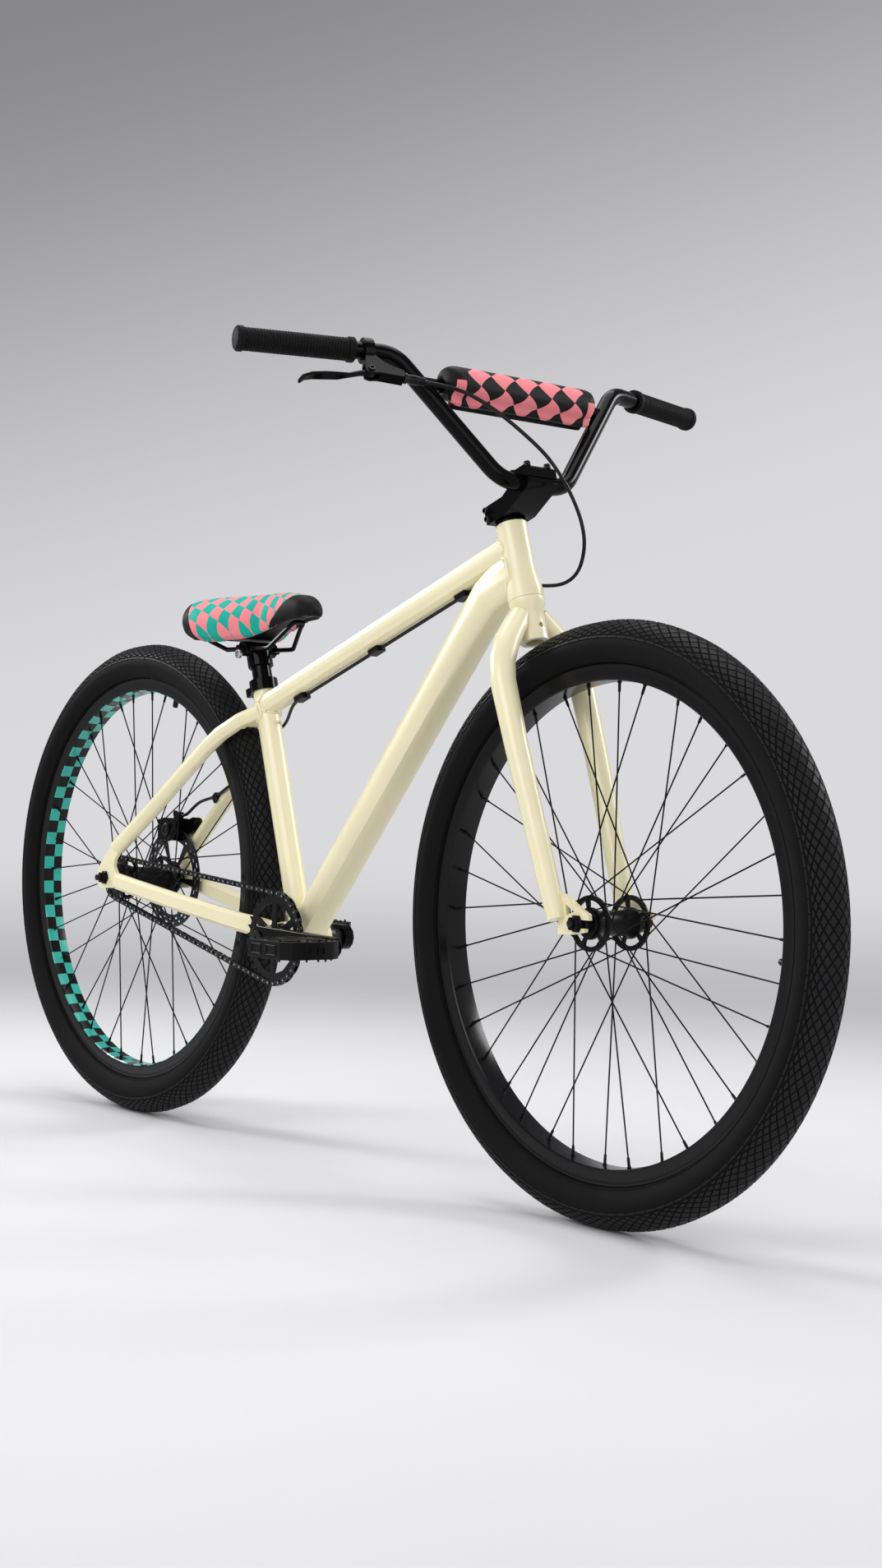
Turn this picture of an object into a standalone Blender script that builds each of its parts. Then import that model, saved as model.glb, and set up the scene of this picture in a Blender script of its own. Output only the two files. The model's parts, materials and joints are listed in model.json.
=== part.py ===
"""Wheelie bike: a 29-inch BMX-style bicycle with a rear disc brake.

Metres, +Z up, +X forwards, +Y to the rider's left. The origin lies on the ground, midway between the axles.
"""

import math

import bmesh
import bpy
from mathutils import Matrix, Vector

# Driving sizes: the whole bike
WHEELBASE = 1.085
RIM_OUTER_RADIUS = 0.3170
TYRE_HEIGHT = 0.0555
TYRE_RADIUS = RIM_OUTER_RADIUS + TYRE_HEIGHT
HEAD_ANGLE = math.radians(70.7)
SEAT_ANGLE = math.radians(71.8)
BRACKET_DROP = 0.0645
BRACKET_HEIGHT = TYRE_RADIUS - BRACKET_DROP
CLEARANCE = 0.0003

# Driving sizes: the frame's tubes
HEAD_TUBE_LENGTH = 0.105
HEAD_TUBE_TOP_RADIUS = 0.0209
HEAD_TUBE_WAIST_RADIUS = 0.0202
HEAD_TUBE_FOOT_RADIUS = 0.0238
SEAT_TUBE_LENGTH = 0.390
SEAT_TUBE_RADIUS = 0.0175
TOP_TUBE_ON_SEAT_TUBE = SEAT_TUBE_LENGTH - 0.0363
SEATSTAY_ON_SEAT_TUBE = SEAT_TUBE_LENGTH - 0.0450
TOP_TUBE_ON_HEAD_TUBE = HEAD_TUBE_LENGTH - 0.030
TOP_TUBE_HEIGHT = (0.0300, 0.0330)
TOP_TUBE_WIDTH = (0.0340, 0.0380)
DOWN_TUBE_ON_HEAD_TUBE = 0.43 * HEAD_TUBE_LENGTH
DOWN_TUBE_HEIGHT = (0.0440, 0.0530, 0.0680)
DOWN_TUBE_WIDTH = (0.0520, 0.0480, 0.0385)
STAY_RADIUS = 0.0120
CHAINSTAY_HEIGHT = (0.0300, 0.0250)
CHAINSTAY_WIDTH = 0.0150
STAY_ROOM = 0.045
BRACKET_SHELL_WIDTH = 0.073
BRACKET_SHELL_RADIUS = 0.0235
DROPOUT_THICKNESS = 0.006

# Driving sizes: the fork and steering
FORK_RAKE = 0.0336
CROWN_ROOM = 0.0662
FORK_LENGTH = TYRE_RADIUS + CROWN_ROOM
STEERER_RADIUS = 0.0143
HEAD_BORE_RADIUS = STEERER_RADIUS + 0.0015
LOWER_RACE_RADIUS = 0.0202
UPPER_RACE_RADIUS = 0.0176
RACE_DEPTH = 0.0085
CROWN_RADIUS = 0.0236
CROWN_FOOT = CROWN_ROOM - 0.0082
LEG_FOOT = 0.0137
FORK_LEG_SPREAD = 0.0665
FORK_LEG_RADII = (0.0150, 0.0172, 0.0120)
STEM_REACH = 0.0535
STEM_WIDTH = 0.050
STEM_BASE = HEAD_TUBE_LENGTH + 0.0055
STEM_TOP = STEM_BASE + 0.0240
STEERER_TOP = STEM_TOP - 0.0015
BAR_HEIGHT = STEM_TOP + 0.0045
BAR_RISE = 0.1585
BAR_TOP = BAR_HEIGHT + BAR_RISE
BAR_RADIUS = 0.0111
BAR_HALF_WIDTH = 0.3844
BAR_END_REACH = 0.1974
BAR_FOOT_HALF_WIDTH = STEM_WIDTH / 2 + 0.0287
CROSSBAR_HEIGHT = BAR_TOP - 0.0351
CROSSBAR_RADIUS = 0.0080
GRIP_RADIUS = 0.0145
GRIP_LENGTH = 0.154
LEVER_PLACE = BAR_HALF_WIDTH - GRIP_LENGTH - 0.0079
LEVER_PIVOT = (0.0400, 0.0040)
PAD_END_ROOM = 0.0360
PAD_RADIUS = 0.0225
PAD_FORWARD = 0.0105
PAD_WALL = 0.0025

# Driving sizes: the wheels
FRONT_HUB_WIDTH = 0.100
REAR_HUB_WIDTH = 0.135
AXLE_RADIUS = 0.0048
TYRE_WIDTH = 0.063
RIM_WIDTH = 0.035
RIM_DEPTH = 0.0212
RIM_INNER_RADIUS = RIM_OUTER_RADIUS - RIM_DEPTH
FLANGE_RADIUS = 0.0345
FLANGE_SPACING = 0.066
FLANGE_THICKNESS = 0.0046
HUB_BORE = 0.0112
HUB_STEPS = 12
FREEWHEEL_SEAT_RADIUS = 0.0150
DISC_SEAT_RADIUS = 0.0155
SPOKE_COUNT = 36
SPOKE_RADIUS = 0.0010
SPOKE_CROSS_ANGLE = math.radians(60)
SPOKE_ROOT = 0.0010
SPOKE_OFFSET = 0.00115
SPOKE_TIP_OFFSET = 0.0010
WHEEL_STEPS = 36
DISC_RADIUS = 0.080
DISC_THICKNESS = 0.0018
DISC_OFFSET = 0.052

# Driving sizes: the drive train
CHAIN_PITCH = 0.0127
CHAINRING_TEETH = 32
COG_TEETH = 16
CHAINLINE = 0.050
SPROCKET_THICKNESS = 0.0026
LINK_PLATE = 0.0010
LINK_INSIDE = 0.00175
LINK_HALF_HEIGHT = 0.0035
LINK_OVERLAP = 0.0042
BUSHING_HALF_LENGTH = 0.0023
CHAINRING_BOSS_RADIUS = 0.0150
CRANK_LENGTH = 0.170
CRANK_THICKNESS = 0.0155
CRANK_INNER_FACE = 0.0640
SPINDLE_RADIUS = 0.0095
PEDAL_SPINDLE_RADIUS = 0.0060
CUP_SEAT_RADIUS = 0.0183
CUP_FLANGE_END = BRACKET_SHELL_WIDTH / 2 + 0.0087
PEDAL_LENGTH = 0.100
PEDAL_WIDTH = 0.098
PEDAL_HEIGHT = 0.024

# Driving sizes: the seat and the brake
SEATPOST_RADIUS = 0.0148
SEATPOST_INSERTION = 0.190
SEATPOST_SHOWN = 0.057
SEAT_BORE_DEPTH = SEATPOST_INSERTION + 0.030
CLAMP_RADIUS = 0.0115
RAIL_RADIUS = 0.0035
RAIL_SPACING = 0.044
RAIL_DROP = 0.0040
CABLE_RADIUS = 0.0025
CABLE_DROP = 0.0042
CLIP_HALF_LENGTH = 0.011
FRONT_CLIP_ROOM = 0.0644


def remove_everything():
    for item in list(bpy.data.objects):
        bpy.data.objects.remove(item, do_unlink=True)


# Materials

def paint(name, colour, roughness, metallic=0.0):
    """A Principled material, with its colour given in linear light."""
    material = bpy.data.materials.new(name)
    material.use_nodes = True
    shader = material.node_tree.nodes["Principled BSDF"]
    shader.inputs["Base Color"].default_value = (*colour, 1.0)
    shader.inputs["Roughness"].default_value = roughness
    shader.inputs["Metallic"].default_value = metallic
    material.diffuse_color = (*colour, 1.0)
    return material


FINISHES = {
    "cream": ((0.83, 0.78, 0.52), 0.28, 0.0),
    "gloss_black": ((0.012, 0.012, 0.013), 0.18, 0.0),
    "satin_black": ((0.018, 0.018, 0.019), 0.42, 0.0),
    "rubber": ((0.016, 0.016, 0.017), 0.75, 0.0),
    "plastic": ((0.020, 0.020, 0.022), 0.50, 0.0),
    "steel": ((0.45, 0.46, 0.48), 0.30, 1.0),
    "black_metal": ((0.025, 0.025, 0.027), 0.35, 0.6),
    "checker_cloth": ((0.05, 0.48, 0.44), 0.80, 0.0),
    "pad_cloth": ((0.90, 0.38, 0.42), 0.85, 0.0),
}
MATERIALS = {}


def material_named(name):
    if name not in MATERIALS:
        colour, roughness, metallic = FINISHES[name]
        MATERIALS[name] = paint(name, colour, roughness, metallic)
    return MATERIALS[name]


# Objects and modifiers

def empty(name, location, rotation=(0, 0, 0), parent=None):
    """An axis that pieces hang on."""
    item = bpy.data.objects.new(name, None)
    item.empty_display_size = 0.05
    item.location = location
    item.rotation_euler = rotation
    item.parent = parent
    bpy.context.scene.collection.objects.link(item)
    return item


def add_piece(name, bm, parent, finish, sharp_angle=35):
    """A finished sub-part from a bmesh, smooth except over its sharp edges."""
    mesh = bpy.data.meshes.new(name)
    bm.to_mesh(mesh)
    bm.free()
    mesh.materials.append(material_named(finish))
    mesh.shade_smooth()
    mesh.set_sharp_from_angle(angle=math.radians(sharp_angle))
    item = bpy.data.objects.new(name, mesh)
    item.parent = parent
    bpy.context.scene.collection.objects.link(item)
    return item


def add_guide(name, bm, parent):
    """A hidden body that cuts another piece or is welded to it."""
    mesh = bpy.data.meshes.new(name)
    bm.to_mesh(mesh)
    bm.free()
    item = bpy.data.objects.new(name, mesh)
    item.parent = parent
    item.hide_render = True
    item.display_type = "WIRE"
    bpy.context.scene.collection.objects.link(item)
    return item


def boolean(item, guides, operation):
    """One Boolean for all the guides, which may overlap each other."""
    modifier = item.modifiers.new(f"{operation.lower()}_{guides[0].name}", "BOOLEAN")
    modifier.operation = operation
    modifier.solver = "EXACT"
    if len(guides) == 1:
        modifier.object = guides[0]
        return
    group = bpy.data.collections.new(modifier.name)
    for guide in guides:
        group.objects.link(guide)
    modifier.operand_type = "COLLECTION"
    modifier.collection = group


def cut(item, *guides):
    boolean(item, guides, "DIFFERENCE")


def weld(item, *guides):
    boolean(item, guides, "UNION")


# Shapes

def circle(radius, count, phase=0.0):
    return [
        (radius * math.cos(phase + math.tau * i / count), radius * math.sin(phase + math.tau * i / count))
        for i in range(count)
    ]


def arc(centre, radius, start, end, count):
    """Points along an arc, with its angles in degrees."""
    points = []
    for i in range(count + 1):
        angle = math.radians(start + (end - start) * i / count)
        points.append((centre[0] + radius * math.cos(angle), centre[1] + radius * math.sin(angle)))
    return points


def rounded_box(width, height, corner, per_corner=2):
    """The outline of a box section with round corners."""
    points = []
    for sx, sy, start in ((1, 1, 0), (-1, 1, 90), (-1, -1, 180), (1, -1, 270)):
        centre = (sx * (width / 2 - corner), sy * (height / 2 - corner))
        points += arc(centre, corner, start, start + 90, per_corner)
    return points


def skin(rings, inner=None):
    """A closed solid through rings of points. With inner rings it is a tube, open at both ends."""
    bm = bmesh.new()

    def wall(ring_list):
        loops = [[bm.verts.new(point) for point in ring] for ring in ring_list]
        for here, there in zip(loops, loops[1:]):
            for i in range(len(here)):
                j = (i + 1) % len(here)
                bm.faces.new((here[i], here[j], there[j], there[i]))
        return loops[0], loops[-1]

    ends = wall(rings)
    if inner is None:
        for end in ends:
            bm.faces.new(end)
    else:
        for outside, inside in zip(ends, wall(inner)):
            for i in range(len(outside)):
                j = (i + 1) % len(outside)
                bm.faces.new((outside[i], outside[j], inside[j], inside[i]))
    bmesh.ops.recalc_face_normals(bm, faces=bm.faces)
    return bm


def rings_along(path, sections, reference):
    """Places each section on its point of the path, its first axis as near the reference as it can be."""
    path = [Vector(point) for point in path]
    rings = []
    for i, point in enumerate(path):
        tangent = (path[min(i + 1, len(path) - 1)] - path[max(i - 1, 0)]).normalized()
        side = (reference - reference.dot(tangent) * tangent).normalized()
        up = tangent.cross(side)
        rings.append([point + side * u + up * v for u, v in sections[i]])
    return rings


def sweep(path, sections, reference=(0, 1, 0), inner=None):
    """A solid swept along a path, or a tube where inner sections are given."""
    reference = Vector(reference)
    outer_rings = rings_along(path, sections, reference)
    inner_rings = rings_along(path, inner, reference) if inner else None
    return skin(outer_rings, inner_rings)


def turned(profile, steps, closed=True, axis="Z"):
    """A profile of (radius, height) points turned about an axis."""
    bm = bmesh.new()
    verts = [bm.verts.new((radius, 0, height)) for radius, height in profile]
    edges = [bm.edges.new(pair) for pair in zip(verts, verts[1:])]
    if closed:
        edges.append(bm.edges.new((verts[-1], verts[0])))
    bmesh.ops.spin(
        bm, geom=verts + edges, cent=(0, 0, 0), axis=(0, 0, 1), dvec=(0, 0, 0),
        angle=math.tau, steps=steps, use_merge=True, use_duplicate=False,
    )
    bmesh.ops.remove_doubles(bm, verts=bm.verts, dist=1e-6)
    bmesh.ops.recalc_face_normals(bm, faces=bm.faces)
    if axis == "Y":
        turn(bm, -90, "X")
    if axis == "X":
        turn(bm, 90, "Y")
    return bm


def turn(bm, degrees, axis):
    matrix = Matrix.Rotation(math.radians(degrees), 3, axis)
    bmesh.ops.rotate(bm, verts=bm.verts, cent=(0, 0, 0), matrix=matrix)
    return bm


def move(bm, offset):
    bmesh.ops.translate(bm, verts=bm.verts, vec=offset)
    return bm


def rod(radius, start, end, sides, axis="Z"):
    """A plain cylinder between two heights of an axis."""
    return turned([(0, start), (radius, start), (radius, end), (0, end)], sides, closed=False, axis=axis)


def ring(inner, outer, start, end, steps, axis="Z"):
    """A plain tube between two heights of an axis."""
    return turned([(inner, start), (outer, start), (outer, end), (inner, end)], steps, axis=axis)


def box(low, high):
    bm = bmesh.new()
    bmesh.ops.create_cube(bm, size=1.0)
    size = Vector(high) - Vector(low)
    bmesh.ops.scale(bm, verts=bm.verts, vec=size)
    return move(bm, (Vector(low) + Vector(high)) / 2)


def plate(outline, holes, start, end):
    """A flat plate with holes, standing in the XZ plane between two places on Y."""
    bm = bmesh.new()
    edges = []
    for loop in [outline] + list(holes):
        verts = [bm.verts.new((x, start, z)) for x, z in loop]
        edges += [bm.edges.new((verts[i], verts[(i + 1) % len(verts)])) for i in range(len(verts))]
    bmesh.ops.triangle_fill(bm, use_beauty=True, edges=edges)
    grown = bmesh.ops.extrude_face_region(bm, geom=bm.faces[:])["geom"]
    grown = [part for part in grown if isinstance(part, bmesh.types.BMVert)]
    bmesh.ops.translate(bm, vec=(0, end - start, 0), verts=grown)
    bmesh.ops.recalc_face_normals(bm, faces=bm.faces)
    return bm


def rounded_path(corners, bend_radius, steps):
    """A path through corner points, with each inner corner bent to a radius."""
    corners = [Vector(corner) for corner in corners]
    path = [corners[0]]
    for before, corner, after in zip(corners, corners[1:], corners[2:]):
        into = (corner - before).normalized()
        out = (after - corner).normalized()
        bend = into.angle(out)
        shorter = min((corner - before).length, (after - corner).length)
        radius = min(bend_radius, 0.48 * shorter / math.tan(bend / 2))
        start = corner - into * radius * math.tan(bend / 2)
        axis = into.cross(out).normalized()
        centre = start + axis.cross(into) * radius
        for i in range(steps + 1):
            path.append(centre + Matrix.Rotation(bend * i / steps, 3, axis) @ (start - centre))
    path.append(corners[-1])
    return path


def smooth_route(points, spacing):
    """A smooth curve through a route's own points, read at about an even spacing."""
    points = [Vector(point) for point in points]
    padded = [points[0] * 2 - points[1]] + points + [points[-1] * 2 - points[-2]]
    route = []
    for a, b, c, d in zip(padded, padded[1:], padded[2:], padded[3:]):
        pieces = max(1, round((c - b).length / spacing))
        for i in range(pieces):
            t = i / pieces
            route.append(0.5 * (
                2 * b + (c - a) * t + (2 * a - 5 * b + 4 * c - d) * t * t + (3 * b - a - 3 * c + d) * t ** 3
            ))
    route.append(points[-1])
    return route


def blend(low, high, t):
    return low + (high - low) * t


def bore_round(radius, sides):
    """The corner radius of a bore whose flats clear a round of the given radius."""
    return (radius + CLEARANCE) / math.cos(math.pi / sides)


# Axes of the bike: each moving piece hangs on one of these

HEAD_TILT = math.pi / 2 - HEAD_ANGLE
SEAT_TILT = math.pi / 2 - SEAT_ANGLE
FORWARDS = Vector((math.cos(HEAD_TILT), 0, math.sin(HEAD_TILT)))
UPWARDS = Vector((-math.sin(HEAD_TILT), 0, math.cos(HEAD_TILT)))
FRONT_AXLE = Vector((WHEELBASE / 2, 0, TYRE_RADIUS))
REAR_AXLE = Vector((-WHEELBASE / 2, 0, TYRE_RADIUS))
HEAD_ORIGIN = FRONT_AXLE - FORWARDS * FORK_RAKE + UPWARDS * FORK_LENGTH


def sprocket_radius(teeth):
    """The radius on which the chain's rollers lie."""
    return CHAIN_PITCH / (2 * math.sin(math.pi / teeth))


def chain_length(distance):
    """How many links a chain needs round both sprockets at a given distance."""
    large, small = sprocket_radius(CHAINRING_TEETH), sprocket_radius(COG_TEETH)
    lean = math.asin((large - small) / distance)
    straight = 2 * distance * math.cos(lean) / CHAIN_PITCH
    return straight + CHAINRING_TEETH * (0.5 + lean / math.pi) + COG_TEETH * (0.5 - lean / math.pi)


STAY_LENGTH_NEEDED = TYRE_RADIUS + SEAT_TUBE_RADIUS + STAY_ROOM
CHAIN_LINKS = 2 * math.ceil(chain_length(STAY_LENGTH_NEEDED) / 2)


def sprocket_distance():
    """The distance between the sprockets at which a chain of whole links closes."""
    near, far = STAY_LENGTH_NEEDED / 2, STAY_LENGTH_NEEDED * 2
    for _ in range(60):
        middle = (near + far) / 2
        near, far = (middle, far) if chain_length(middle) < CHAIN_LINKS else (near, middle)
    return near


SPROCKET_DISTANCE = sprocket_distance()
BRACKET = REAR_AXLE + Vector((math.sqrt(SPROCKET_DISTANCE ** 2 - BRACKET_DROP ** 2), 0, -BRACKET_DROP))
SEAT_UP = Vector((-math.sin(SEAT_TILT), 0, math.cos(SEAT_TILT)))


def add_axes():
    axes = {"frame": empty("frame_origin", (0, 0, 0))}
    axes["steering"] = empty("steering_axis", HEAD_ORIGIN, (0, -HEAD_TILT, 0), axes["frame"])
    fork_foot = (FORK_RAKE, 0, -FORK_LENGTH)
    axes["front_wheel"] = empty("front_axle_axis", fork_foot, (0, HEAD_TILT, 0), axes["steering"])
    axes["rear_wheel"] = empty("rear_axle_axis", REAR_AXLE, (0, 0, 0), axes["frame"])
    axes["crank"] = empty("crank_axis", BRACKET, (0, 0, 0), axes["frame"])
    axes["pedal_right"] = empty("pedal_axis_right", (CRANK_LENGTH, 0, 0), (0, 0, 0), axes["crank"])
    axes["pedal_left"] = empty("pedal_axis_left", (-CRANK_LENGTH, 0, 0), (0, 0, 0), axes["crank"])
    axes["seat_tube"] = empty("seat_tube_axis", BRACKET, (0, -SEAT_TILT, 0), axes["frame"])
    axes["seat_clamp"] = empty("seat_clamp_axis", (0, 0, SEAT_TUBE_LENGTH), (0, 0, 0), axes["seat_tube"])
    axes["seatpost"] = empty("seatpost_axis", (0, 0, SEAT_TUBE_LENGTH), (0, 0, 0), axes["seat_tube"])
    saddle_place = (0, 0, SEATPOST_SHOWN)
    axes["saddle"] = empty("saddle_clamp_axis", saddle_place, (0, SEAT_TILT, 0), axes["seatpost"])
    return axes


# Frame

def head_tube_profile(extra=0.0):
    """The head tube's outer outline, from its foot to its top."""
    return [
        (HEAD_TUBE_FOOT_RADIUS + extra, 0.0),
        (HEAD_TUBE_FOOT_RADIUS + extra, 0.012),
        (HEAD_TUBE_WAIST_RADIUS + extra, 0.038),
        (HEAD_TUBE_WAIST_RADIUS + extra, 0.080),
        (HEAD_TUBE_TOP_RADIUS + extra, HEAD_TUBE_LENGTH),
    ]


def add_head_tube(axes):
    """The head tube, bored for the steerer, with a seat for a bearing race at each end."""
    top = HEAD_TUBE_LENGTH
    lower_seat, upper_seat = bore_round(LOWER_RACE_RADIUS, 16), bore_round(UPPER_RACE_RADIUS, 16)
    bore = [
        (upper_seat, top), (upper_seat, top - RACE_DEPTH), (HEAD_BORE_RADIUS, top - RACE_DEPTH),
        (HEAD_BORE_RADIUS, RACE_DEPTH), (lower_seat, RACE_DEPTH), (lower_seat, 0.0),
    ]
    add_piece("head_tube", turned(head_tube_profile() + bore, 16), axes["steering"], "cream")


TOP_TUBE_REAR = BRACKET + SEAT_UP * TOP_TUBE_ON_SEAT_TUBE
TOP_TUBE_FRONT = HEAD_ORIGIN + UPWARDS * TOP_TUBE_ON_HEAD_TUBE


def top_tube_body(extra=0.0):
    path = [TOP_TUBE_REAR, TOP_TUBE_FRONT]
    sections = []
    for t in (0.0, 1.0):
        width = blend(*TOP_TUBE_WIDTH, t) + 2 * extra
        height = blend(*TOP_TUBE_HEIGHT, t) + 2 * extra
        sections.append(rounded_box(width, height, 0.0115 + extra, 2))
    return sweep(path, sections)


def down_tube_section(width, height):
    """A hydroformed section: flat flanks that crease towards a narrower back."""
    half_w, half_h = width / 2, height / 2
    right = [
        (0.36 * half_w, -half_h), (0.78 * half_w, -0.80 * half_h), (half_w, -0.30 * half_h),
        (0.96 * half_w, 0.25 * half_h), (0.70 * half_w, 0.78 * half_h), (0.30 * half_w, half_h),
    ]
    return right + [(-x, y) for x, y in reversed(right)]


DOWN_TUBE_END = HEAD_ORIGIN + UPWARDS * DOWN_TUBE_ON_HEAD_TUBE
DOWN_TUBE_BEND = DOWN_TUBE_END + Vector((-0.8150, 0, -0.5150)) * DOWN_TUBE_HEIGHT[2]


def down_tube_body():
    path = [BRACKET.lerp(DOWN_TUBE_BEND, t) for t in (0.006, 0.29, 0.677, 0.887, 1.0)] + [DOWN_TUBE_END]
    heights = (DOWN_TUBE_HEIGHT[0], 0.0465, 0.0505, DOWN_TUBE_HEIGHT[1], 0.0580, DOWN_TUBE_HEIGHT[2])
    widths = (DOWN_TUBE_WIDTH[0], 0.0510, 0.0490, DOWN_TUBE_WIDTH[1], 0.0460, DOWN_TUBE_WIDTH[2])
    return sweep(path, [down_tube_section(w, h) for w, h in zip(widths, heights)])


def add_main_tubes(axes):
    frame = axes["frame"]
    head_solid = [(0, 0), *head_tube_profile(CLEARANCE), (0, HEAD_TUBE_LENGTH)]
    head_guide = add_guide("guide_head_tube", turned(head_solid, 16, closed=False), axes["steering"])
    seat_solid = rod(SEAT_TUBE_RADIUS + CLEARANCE, 0, SEAT_TUBE_LENGTH, 20)
    seat_guide = add_guide("guide_seat_tube", seat_solid, axes["seat_tube"])
    shell_reach = BRACKET_SHELL_WIDTH / 2 + 0.002
    shell_solid = rod(BRACKET_SHELL_RADIUS + CLEARANCE, -shell_reach, shell_reach, 20, "Y")
    shell_guide = add_guide("guide_bracket_shell", shell_solid, axes["crank"])
    top_guide = add_guide("guide_top_tube", top_tube_body(CLEARANCE), frame)

    cut(add_piece("top_tube", top_tube_body(), frame, "cream"), head_guide, seat_guide)
    down_tube = add_piece("down_tube", down_tube_body(), frame, "cream", 20)
    cut(down_tube, top_guide, head_guide, seat_guide, shell_guide)

    bore_radius = SEATPOST_RADIUS + CLEARANCE
    seat_profile = [
        (0, 0), (SEAT_TUBE_RADIUS, 0), (SEAT_TUBE_RADIUS, SEAT_TUBE_LENGTH),
        (bore_radius, SEAT_TUBE_LENGTH), (bore_radius, SEAT_TUBE_LENGTH - SEAT_BORE_DEPTH),
        (0, SEAT_TUBE_LENGTH - SEAT_BORE_DEPTH),
    ]
    seat_tube = add_piece("seat_tube", turned(seat_profile, 20, closed=False), axes["seat_tube"], "cream")
    cut(seat_tube, shell_guide)

    shell_end = BRACKET_SHELL_WIDTH / 2
    shell = ring(CUP_SEAT_RADIUS, BRACKET_SHELL_RADIUS, -shell_end, shell_end, 20, "Y")
    add_piece("bottom_bracket_shell", shell, axes["crank"], "cream")
    return seat_guide, shell_guide


def stay_place(start, end, reach, lift):
    """Seen from the side, the place between two points that lies at a distance from the rear axle."""
    upwards = Vector((0, 0, lift))
    near, far = 0.0, 1.0
    for _ in range(40):
        t = (near + far) / 2
        place = start.lerp(end, t) + upwards
        near, far = (t, far) if (place - REAR_AXLE).length > reach else (near, t)
    return place


SEATSTAY_TOP = BRACKET + SEAT_UP * SEATSTAY_ON_SEAT_TUBE
SEATSTAY_FOOT = REAR_AXLE + Vector((0.0300, 0, 0.0485))
CHAINSTAY_TOP = BRACKET + Vector((-0.010, 0, 0.0030))
CHAINSTAY_FOOT = REAR_AXLE + Vector((0.0310, 0, -0.0040))
# Reach in tyre radii, place to the side in half tyre widths, lift in tyre radii
SEATSTAY_BENDS = (
    (1.0449, 0.920, 0.0204), (0.9546, 1.381, 0.0185), (0.8542, 1.587, 0.0156), (0.7211, 1.698, 0.0132),
    (0.4538, 1.905, 0.0054),
)
CHAINSTAY_BENDS = (
    (1.0642, 0.984, 0.0021), (0.9962, 1.159, 0.0032), (0.9284, 1.387, 0.0027), (0.7931, 1.508, 0.0008),
    (0.5224, 1.778, -0.0029), (0.2240, 2.063, -0.0028),
)
BRIDGE_REACH = (1.0352, 0.0204)


def stay_path(side, top, top_offset, foot, bends):
    """A stay's middle line: out round the tyre and back to the dropout."""
    path = [Vector((top.x, side * top_offset, top.z))]
    for reach, out, lift in bends:
        place = stay_place(top, foot, reach * TYRE_RADIUS, lift * TYRE_RADIUS)
        path.append(Vector((place.x, side * out * TYRE_WIDTH / 2, place.z)))
    path.append(Vector((foot.x, side * (REAR_HUB_WIDTH / 2 + 0.0025), foot.z)))
    return path


def seatstay_path(side):
    return stay_path(side, SEATSTAY_TOP, 0.012, SEATSTAY_FOOT, SEATSTAY_BENDS)


def chainstay_path(side):
    return stay_path(side, CHAINSTAY_TOP, BRACKET_SHELL_WIDTH / 2 - 0.0095, CHAINSTAY_FOOT, CHAINSTAY_BENDS)


def stay_bodies(side, extra=0.0):
    seat_path = seatstay_path(side)
    seat_path[-1] += (seat_path[-1] - seat_path[-2]).normalized() * extra
    round_section = circle(STAY_RADIUS + extra, 10)
    seatstay = sweep(seat_path, [round_section] * len(seat_path), (0, 0, 1))
    chain_path = chainstay_path(side)
    sections = []
    for i in range(len(chain_path)):
        height = blend(*CHAINSTAY_HEIGHT, i / (len(chain_path) - 1))
        sections.append(rounded_box(CHAINSTAY_WIDTH + 2 * extra, height + 2 * extra, 0.0050, 1))
    return seatstay, sweep(chain_path, sections)


def dropout_outline():
    """The rear end plate about the axle: a slot open to the rear and two tongues that enter the stays."""
    slot = AXLE_RADIUS + 0.0004
    return [
        (0.0403, 0.0660), (0.0195, 0.0550), (-0.0120, 0.0240), (-0.0230, 0.0110), (-0.0230, slot),
        *arc((0.0040, 0), slot, 90, -90, 6),
        (-0.0230, -slot), (-0.0230, -0.0100), (-0.0120, -0.0175), (0.0300, -0.0150), (0.0480, -0.0120),
        (0.0500, 0.0020), (0.0330, 0.0090), (0.0250, 0.0190), (0.0270, 0.0290), (0.0497, 0.0530),
    ]


TAB_HOLE = (0.0500, 0.0890)
TAB_HOLE_RADIUS = 0.0031
DISC_TAB_OUTLINE = (
    (0.0100, 0.0400), (0.0150, 0.0690), (0.0330, 0.0930), (0.0440, 0.0990), (0.0550, 0.0980),
    (0.0600, 0.0900), (0.0420, 0.0700), (0.0280, 0.0500),
)


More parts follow.
